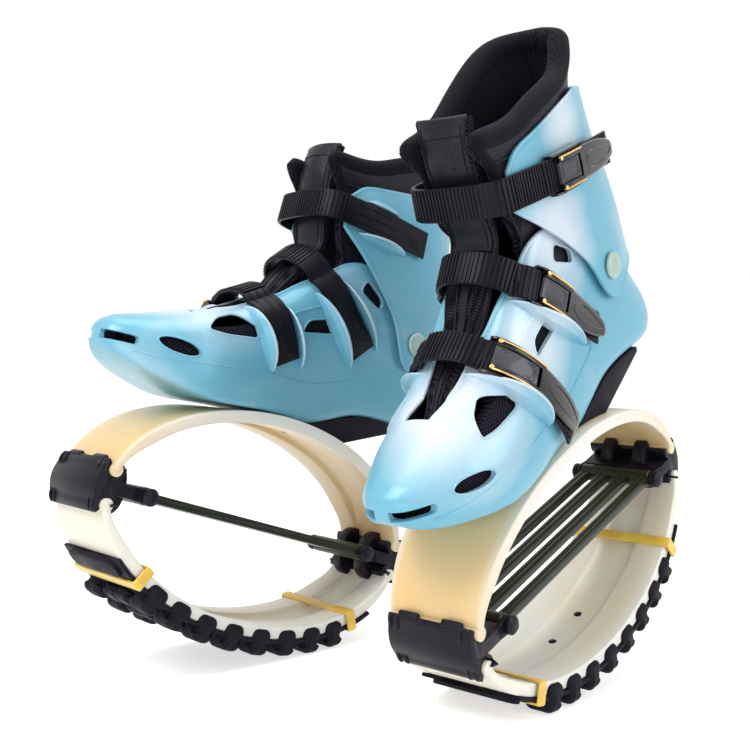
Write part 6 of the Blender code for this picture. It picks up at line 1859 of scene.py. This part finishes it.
def make_straps(detail):
    """Ratchet straps: a row of cross teeth on the ladder half and raised chevrons on the plain half."""
    for strap in STRAP_SHARES:
        key = "cuff" if strap == "cuff" else "boot"
        first, last = strap_span(strap)
        places = []
        begin = SHELL_LENGTH * LADDER_START_SHARES[strap]
        end = buckle_start(strap) + HINGE_INSET
        count = int((end - begin) / detail.tooth_pitch)
        for k in range(count + 1):
            along = begin + k * detail.tooth_pitch
            places.append(strap_frame(strap, along, 0.0, SURFACE_GAP + strap_lift(strap, along) + STRAP_THICKNESS))
        if last - buckle_start(strap) > BASE_LENGTH * 1.2:
            along = buckle_start(strap) + BASE_LENGTH + detail.tooth_pitch
            while along < last - detail.tooth_pitch:
                places.append(strap_frame(strap, along, 0.0, SURFACE_GAP + strap_lift(strap, along) + STRAP_THICKNESS))
                along += detail.tooth_pitch
        unit = make_mesh("tooth", [block((detail.tooth_pitch * 0.60, STRAP_WIDTH * 0.94, TOOTH_HEIGHT * 2.0), (0.0, 0.0, 0.0),
                                         detail.tooth_pitch * 0.14)])
        unit.materials.append(LOOKS["strap"])
        parts = [strap_body(strap), mesh_part(repeat(f"{strap}_teeth", unit, places))]
        lines = []
        for k in range(3):
            tip = first + SHELL_LENGTH * (CHEVRON_START_SHARE + CHEVRON_STEP_SHARE * k)
            for sign in (-1.0, 1.0):
                path = []
                for t in spread(0.0, 1.0, 10):
                    along = tip + CHEVRON_DEPTH * (1.0 - t)
                    across = sign * STRAP_WIDTH * 0.36 * t
                    path.append(strap_point(strap, along, across, SURFACE_GAP + STRAP_THICKNESS * 1.02))
                lines.append(bead(path, EDGE_ROUND * 0.55, 6, taper=True))
        for across in (-0.30, 0.0, 0.30):
            path = []
            for t in spread(CHEVRON_START_SHARE + CHEVRON_STEP_SHARE * 4.0, -first / SHELL_LENGTH - 0.04, 14):
                path.append(strap_point(strap, first + SHELL_LENGTH * t, STRAP_WIDTH * across,
                                        SURFACE_GAP + STRAP_THICKNESS * 1.0))
            lines.append(bead(path, EDGE_ROUND * 0.5, 6, taper=True))
        dress(make_mesh(f"{strap}_strap", parts + lines, weld=False), f"{strap}_strap", key, [LOOKS["strap"]],
              f"{strap}_strap")


def sweep_on(strap, start, length, steps, outline_at):
    """Skins outlines of (across, lift) that change along a strap."""
    rings = []
    for k in range(steps + 1):
        t = k / steps
        rings.append([strap_point(strap, start + length * t, u, v) for u, v in outline_at(t)])
    return skin(rings)


def base_outline(t):
    half = STRAP_WIDTH / 2.0 + CLEARANCE
    wide = half + BASE_WALL
    low = SURFACE_GAP - CLEARANCE
    floor = low + BASE_FLOOR
    high = low + BASE_HEIGHT * (1.0 - BASE_FALL_SHARE * t ** 3) * (0.80 + 0.20 * smooth_step(t / 0.12))
    corners = [(-wide, low), (wide, low), (wide, high), (half, high), (half, floor), (-half, floor)]
    corners += [(-half, high), (-wide, high)]
    return rounded(corners, BASE_WALL * 0.42, 2)


def lever_outline(t):
    reach = paddle_start() + (LEVER_LENGTH - paddle_start()) * t
    half = (STRAP_WIDTH / 2.0 - CLEARANCE) * read_table(LEVER_WIDTH_SHARES, reach / LEVER_LENGTH)
    low = lever_floor()
    high = low + LEVER_THICKNESS * (1.35 - 0.45 * t) * (1.0 - 0.5 * smooth_step((t - 0.93) / 0.07))
    corners = [(-half, low), (half, low), (half, high - LEVER_THICKNESS * 0.35), (half * 0.78, high)]
    corners += [(0.0, high + LEVER_THICKNESS * 0.12), (-half * 0.78, high), (-half, high - LEVER_THICKNESS * 0.35)]
    return rounded(corners, LEVER_THICKNESS * 0.3, 3)


def paddle_start():
    return TAB_LENGTH + 2.0 * CLEARANCE


def make_buckles(detail):
    for strap in STRAP_SHARES:
        key = "cuff" if strap == "cuff" else "boot"
        start = buckle_start(strap)
        base = [sweep_on(strap, start, BASE_LENGTH, 30, base_outline)]
        dress(make_mesh(f"{strap}_base", base, weld=False), f"{strap}_buckle_base", key, [LOOKS["gloss"]],
              f"{strap}_buckle_base")
        make_lever(strap, start + HINGE_INSET)
        make_release(strap, start + HINGE_INSET)


def make_lever(strap, start):
    low = lever_floor()
    half = STRAP_WIDTH / 2.0 - CLEARANCE
    parts = [sweep_on(strap, start + paddle_start(), LEVER_LENGTH - paddle_start(), 40, lever_outline)]
    high = low + LEVER_THICKNESS * 1.35
    for sign in (-1.0, 1.0):
        near = sign * (half - LEVER_ARM_WIDTH)
        far = sign * half

        def arm_outline(t, near=near, far=far):
            top = low + LEVER_THICKNESS * (0.95 + 0.40 * smooth_step(t / 0.4))
            return rounded([(near, low), (far, low), (far, top), (near, top)], EDGE_ROUND, 3)

        parts.append(sweep_on(strap, start - HINGE_RADIUS * 0.8, paddle_start() + HINGE_INSET * 0.6, 20, arm_outline))
    leaf = []
    for k in range(40):
        turn = 2.0 * math.pi * k / 40
        along = LEVER_LENGTH * (LEAF_CENTRE_SHARE + LEAF_LENGTH_SHARE * math.cos(turn))
        across = half * LEAF_WIDTH_SHARE * math.sin(turn) * (0.72 - 0.28 * math.cos(turn))
        t = (along - paddle_start()) / (LEVER_LENGTH - paddle_start())
        top = low + LEVER_THICKNESS * (1.35 - 0.45 * t) + LEVER_THICKNESS * 0.10
        leaf.append(strap_point(strap, start + along, across, top))
    parts.append(bead(leaf, EDGE_ROUND * 0.5, 6, closed=True))
    dress(make_mesh(f"{strap}_lever", parts, weld=False), f"{strap}_lever", f"{strap}_lever", [LOOKS["gloss"]],
          f"{strap}_lever")
    pins = []
    for sign in (-1.0, 1.0):
        path = []
        for t in spread(0.0, 1.0, 16):
            along = start + (TAB_LENGTH + HINGE_INSET * 0.5) * t
            path.append(strap_point(strap, along, sign * (half - EDGE_ROUND * 0.4), high + EDGE_ROUND * 0.1))
        pins.append(bead(path, EDGE_ROUND * 0.7, 8))
        knob = strap_frame(strap, start, sign * (half - LEVER_ARM_WIDTH * 0.35), high)
        pins.append(moved(turned([(0.0, -EDGE_ROUND), (EDGE_ROUND * 1.7, -EDGE_ROUND), (EDGE_ROUND * 1.7, EDGE_ROUND * 0.6),
                                  (0.0, EDGE_ROUND * 1.1)], 14), knob))
    dress(make_mesh(f"{strap}_clip", pins, weld=False), f"{strap}_clip", f"{strap}_lever", [LOOKS["brass"]])


def make_release(strap, start):
    low = lever_floor()
    half = STRAP_WIDTH / 2.0 - 2.0 * CLEARANCE - LEVER_ARM_WIDTH

    def tab_outline(t):
        high = low + LEVER_THICKNESS * (0.75 + 0.45 * t)
        return rounded([(-half, low), (half, low), (half, high), (-half, high)], EDGE_ROUND * 0.7, 3)

    parts = [sweep_on(strap, start - HINGE_RADIUS * 0.8, TAB_LENGTH, 16, tab_outline)]
    plate_half = half * 0.86
    for grown, lift in ((0.0, 1.0), (-EDGE_ROUND * 1.6, 0.9)):
        path = []
        length = TAB_LENGTH * 0.84
        corners = [(-length / 2.0 - grown, -plate_half - grown), (length / 2.0 + grown, -plate_half - grown),
                   (length / 2.0 + grown, plate_half + grown), (-length / 2.0 - grown, plate_half + grown)]
        for u, v in rounded(corners, EDGE_ROUND * 2.5, 5):
            t = 0.5 + u / TAB_LENGTH
            top = low + LEVER_THICKNESS * (0.75 + 0.45 * t) + EDGE_ROUND * 0.1 * lift
            path.append(strap_point(strap, start - HINGE_RADIUS * 0.8 + TAB_LENGTH * t, v, top))
        dense = []
        for k in range(len(path)):
            ahead = path[(k + 1) % len(path)]
            dense += [path[k].lerp(ahead, t / 4.0) for t in range(4)]
        parts.append(bead(dense, EDGE_ROUND * 0.45, 6, closed=True))
    dress(make_mesh(f"{strap}_release_tab", parts, weld=False), f"{strap}_release_tab", f"{strap}_tab", [LOOKS["plate"]],
          f"{strap}_release_tab")


# The wedge under the heel
def make_spacers(detail):
    top = []
    rows = eased(detail.shell_rows)
    for share in spread(shell_share(SPACER_BACK_X), shell_share(SPACER_FRONT_X), 40):
        row = shell_row(share, 0.0, rows)
        middle = row[len(row) // 2]
        top.append((middle.x, middle.z - CLEARANCE))
    bottom = []
    for step in range(BOW_STEPS + 1):
        angle = BOW_END_ANGLE + (math.pi - 2.0 * BOW_END_ANGLE) * step / BOW_STEPS
        place = bow_point(angle, BOW_THICKNESS / 2.0 + CLEARANCE, 0.0, UPPER_BOW_HEIGHT, 1.0)
        if SPACER_LEAVE_X < place.x < SPACER_FRONT_X:
            bottom.append((place.x, place.z))
    tip_x, tip_z = top[0]
    bottom.append((tip_x, tip_z - SPACER_TIP))
    mesh = plate("heel_spacer", top + bottom, -SPACER_HALF_WIDTH, SPACER_HALF_WIDTH, EDGE_ROUND * 1.4, 3)
    dress(mesh, "heel_spacer", "boot", [LOOKS["rubber"]], "heel_spacer")


# The studio
def make_stage():
    """A pale floor, a white backdrop, soft lamps and the photograph's camera."""
    scene = bpy.context.scene
    middle = sum((SHOES[side].translation for side in SIDES), Vector()) / 2.0
    turn = Matrix.Rotation(CAMERA_TURN, 4, "Z")
    place = middle + turn @ (Vector(CAMERA_PLACE) - Vector(CAMERA_TARGET))
    right = Vector((1.0, 0.0, 0.0))
    ahead = Vector((0.0, math.cos(CAMERA_DIP), -math.sin(CAMERA_DIP)))
    down = ahead.cross(right)
    tilted = right * math.cos(CAMERA_ROLL) - down * math.sin(CAMERA_ROLL)
    fallen = right * math.sin(CAMERA_ROLL) + down * math.cos(CAMERA_ROLL)
    axes = Matrix((tilted, -fallen, -ahead)).transposed().to_4x4()
    lens = bpy.data.cameras.new("photo_camera")
    lens.sensor_width = SENSOR_WIDTH
    lens.lens = SENSOR_WIDTH * FOCAL_PIXELS / PHOTO_WIDTH
    lens.clip_start = 0.01
    camera = bpy.data.objects.new("photo_camera", lens)
    camera.matrix_world = Matrix.Translation(place) @ turn @ axes
    scene.collection.objects.link(camera)
    scene.camera = camera
    floor = bpy.data.meshes.new("floor")
    reach = FLOOR_REACH
    corners = [(-reach, -reach, 0.0), (reach, -reach, 0.0), (reach, reach, 0.0), (-reach, reach, 0.0)]
    floor.from_pydata(corners, [], [(0, 1, 2, 3)])
    ground = bpy.data.objects.new("floor", floor)
    scene.collection.objects.link(ground)
    floor.materials.append(floor_look())
    settings = scene.boot_looks
    for name, spot, size, power in LAMPS:
        data = bpy.data.lights.new(name, "AREA")
        data.shape = "RECTANGLE"
        data.size = size[0]
        data.size_y = size[1]
        data.energy = power * settings.lamp_strength
        lamp = bpy.data.objects.new(name, data)
        lamp.location = camera_side(spot, turn, middle)
        aim = middle + Vector((0.0, 0.0, LAMP_AIM_HEIGHT)) - lamp.location
        lamp.rotation_euler = aim.to_track_quat("-Z", "Y").to_euler()
        scene.collection.objects.link(lamp)
    make_world(settings.sky_strength)
    scene.view_settings.view_transform = "Standard"


def camera_side(spot, turn, middle):
    """A place given as right, away and up from the camera's point of view, about the pair."""
    return middle + turn @ Vector(spot)


def floor_look():
    made, tree, shader = new_look("floor_white", FLOOR_COLOUR, 0.6)
    grain = add(tree, "ShaderNodeTexNoise", Scale=40.0, Detail=3.0)
    tree.links.new(ramp(tree, grain.outputs["Fac"], 0.3, 0.7, 0.55, 0.7), shader.inputs["Roughness"])
    glow = add(tree, "ShaderNodeEmission", Color=(1.0, 1.0, 1.0, 1.0), Strength=FLOOR_GLOW)
    seen = pale_rays(tree)
    both = tree.nodes.new("ShaderNodeAddShader")
    choice = tree.nodes.new("ShaderNodeMixShader")
    tree.links.new(shader.outputs["BSDF"], both.inputs[0])
    tree.links.new(glow.outputs["Emission"], both.inputs[1])
    tree.links.new(seen, choice.inputs["Fac"])
    tree.links.new(shader.outputs["BSDF"], choice.inputs[1])
    tree.links.new(both.outputs["Shader"], choice.inputs[2])
    tree.links.new(choice.outputs["Shader"], tree.nodes["Material Output"].inputs["Surface"])
    return made


def pale_rays(tree):
    """1 for the rays that show the white background: those of the camera, of gloss and through glass."""
    path = tree.nodes.new("ShaderNodeLightPath")
    seen = combined(tree, "MAXIMUM", path.outputs["Is Camera Ray"], path.outputs["Is Glossy Ray"])
    return combined(tree, "MAXIMUM", seen, path.outputs["Is Transmission Ray"])


def make_world(strength):
    """A white room that shows behind the boots and in their gloss, and lights them softly."""
    world = bpy.data.worlds.new("studio")
    bpy.context.scene.world = world
    world.use_nodes = True
    tree = world.node_tree
    back = tree.nodes["Background"]
    tree.links.new(ramp(tree, pale_rays(tree), 0.0, 1.0, strength, 1.0), back.inputs["Strength"])
    back.inputs["Color"].default_value = (1.0, 1.0, 1.0, 1.0)


# What a user can change
class BootLooks(PropertyGroup):
    """Colours and finish of the boots."""
    shell_colour: FloatVectorProperty(name="Shell", description="Colour of the shell and the cuff", size=3,
                                      subtype="COLOR", min=0.0, max=1.0, default=(0.175, 0.480, 0.630))
    # Colour of the random pearl drifts and of the highlights painted on the toe's crown and the cuff's flank.
    pearl_and_highlight_colour: FloatVectorProperty(name="Pearl", description="Colour of the pearl drifts in the shell", size=3,
                                      subtype="COLOR", min=0.0, max=1.0, default=(0.74, 0.84, 0.90))
    bow_colour: FloatVectorProperty(name="Bow", description="Colour of the bow springs", size=3, subtype="COLOR",
                                    min=0.0, max=1.0, default=(0.88, 0.70, 0.40))
    bow_warm_colour: FloatVectorProperty(name="Bow, warm", description="Warmer drifts in the bow springs", size=3,
                                         subtype="COLOR", min=0.0, max=1.0, default=(0.89, 0.60, 0.27))
    pale_bow_colour: FloatVectorProperty(name="Ground bow", description="Colour of the bow springs on the ground",
                                         size=3, subtype="COLOR", min=0.0, max=1.0, default=(0.92, 0.92, 0.86))
    band_colour: FloatVectorProperty(name="Bands", description="Colour of the bands round the ground bow", size=3,
                                     subtype="COLOR", min=0.0, max=1.0, default=(0.86, 0.52, 0.07))
    black_colour: FloatVectorProperty(name="Black parts", description="Colour of straps, joints and the inner boot",
                                      size=3, subtype="COLOR", min=0.0, max=1.0, default=(0.0058, 0.0050, 0.0092))
    lamp_strength: FloatProperty(name="Lamps", description="Strength of the studio lamps", subtype="FACTOR", min=0.0,
                                 max=4.0, default=1.0)
    sky_strength: FloatProperty(name="Sky", description="Light from the white room", subtype="FACTOR", min=0.0,
                                max=4.0, default=0.45)


class BootDetail(PropertyGroup):
    """Sizes of the fine parts of the boots."""
    tooth_pitch: FloatProperty(name="Tooth pitch", description="Distance between two teeth of a strap", unit="LENGTH",
                               subtype="DISTANCE", min=0.0015, max=0.01, default=0.0030)
    stitch_length: FloatProperty(name="Stitch length", description="Length of a stitch on the tongue", unit="LENGTH",
                                 subtype="DISTANCE", min=0.001, max=0.01, default=0.0024)
    lug_length: FloatProperty(name="Lug length", description="Length of a tread lug along the bow", unit="LENGTH",
                              subtype="DISTANCE", min=0.005, max=0.022, default=0.0195)
    guard_height: FloatProperty(name="Guard height", description="How far the guards stand off, as a share of their "
                                "drawn height", subtype="FACTOR", min=0.2, max=1.5, default=1.0)
    shell_rows: IntProperty(name="Shell rows", description="Rows of faces round half of the shell", min=12, max=40,
                            default=26)


def built(operator, context, *makers):
    """Runs an operator's makers and reports it, with the materials made first if they aren't there yet."""
    if not LOOKS:
        LOOKS.update(all_looks(context.scene.boot_looks))
    for maker in makers:
        maker(context.scene.boot_detail)
    operator.report({"INFO"}, f"{operator.bl_label} finished")
    return {"FINISHED"}


class BOOTS_OT_shell(Operator):
    """Make the shell with its openings and guards, and the wedge under its heel"""
    bl_idname = "boots.make_shell"
    bl_label = "Make shells"

    def execute(self, context):
        return built(self, context, make_shells, make_guards, make_spacers)


class BOOTS_OT_cuff(Operator):
    """Make the cuff and the rivets that it turns on"""
    bl_idname = "boots.make_cuff"
    bl_label = "Make cuffs"

    def execute(self, context):
        return built(self, context, make_cuffs, make_rivets)


class BOOTS_OT_inner(Operator):
    """Make the padded inner boot and its tongue"""
    bl_idname = "boots.make_inner"
    bl_label = "Make inner boots"

    def execute(self, context):
        return built(self, context, make_liners, make_tongues)


class BOOTS_OT_straps(Operator):
    """Make the toothed straps and their buckles"""
    bl_idname = "boots.make_straps"
    bl_label = "Make straps and buckles"

    def execute(self, context):
        return built(self, context, make_straps, make_buckles)


class BOOTS_OT_bows(Operator):
    """Make the bow springs with their bands and the tread"""
    bl_idname = "boots.make_bows"
    bl_label = "Make bows and treads"

    def execute(self, context):
        return built(self, context, make_bows, make_treads, make_bands)


class BOOTS_OT_joints(Operator):
    """Make the joints between the bows and the elastic bars between them"""
    bl_idname = "boots.make_joints"
    bl_label = "Make joints and springs"

    def execute(self, context):
        return built(self, context, make_joints, make_pins, make_springs)


class BOOTS_OT_stage(Operator):
    """Set the floor, the lamps, the white room and the photograph's camera"""
    bl_idname = "boots.make_stage"
    bl_label = "Make studio"

    def execute(self, context):
        make_stage()
        self.report({"INFO"}, "Studio finished")
        return {"FINISHED"}


class BOOTS_PT_panel(Panel):
    """Lists the sizes, the colours and the steps of the boots"""
    bl_label = "Rebound boots"
    bl_idname = "BOOTS_PT_panel"
    bl_space_type = "VIEW_3D"
    bl_region_type = "UI"
    bl_category = "Rebound boots"

    def draw(self, context):
        layout = self.layout
        for group in (context.scene.boot_looks, context.scene.boot_detail):
            box = layout.box()
            for name in group.__annotations__:
                box.prop(group, name)
        for operator in OPERATORS:
            layout.operator(operator.bl_idname)


OPERATORS = (BOOTS_OT_shell, BOOTS_OT_cuff, BOOTS_OT_inner, BOOTS_OT_straps, BOOTS_OT_bows, BOOTS_OT_joints,
             BOOTS_OT_stage)
CLASSES = (BootLooks, BootDetail) + OPERATORS + (BOOTS_PT_panel,)


def register():
    for one in CLASSES:
        bpy.utils.register_class(one)
    bpy.types.Scene.boot_looks = PointerProperty(type=BootLooks)
    bpy.types.Scene.boot_detail = PointerProperty(type=BootDetail)


def unregister():
    del bpy.types.Scene.boot_detail
    del bpy.types.Scene.boot_looks
    for one in reversed(CLASSES):
        bpy.utils.unregister_class(one)


def main():
    register()
    bpy.ops.boots.make_shell()
    bpy.ops.boots.make_cuff()
    bpy.ops.boots.make_inner()
    bpy.ops.boots.make_straps()
    bpy.ops.boots.make_bows()
    bpy.ops.boots.make_joints()
    bpy.ops.boots.make_stage()


if __name__ == "__main__":
    main()
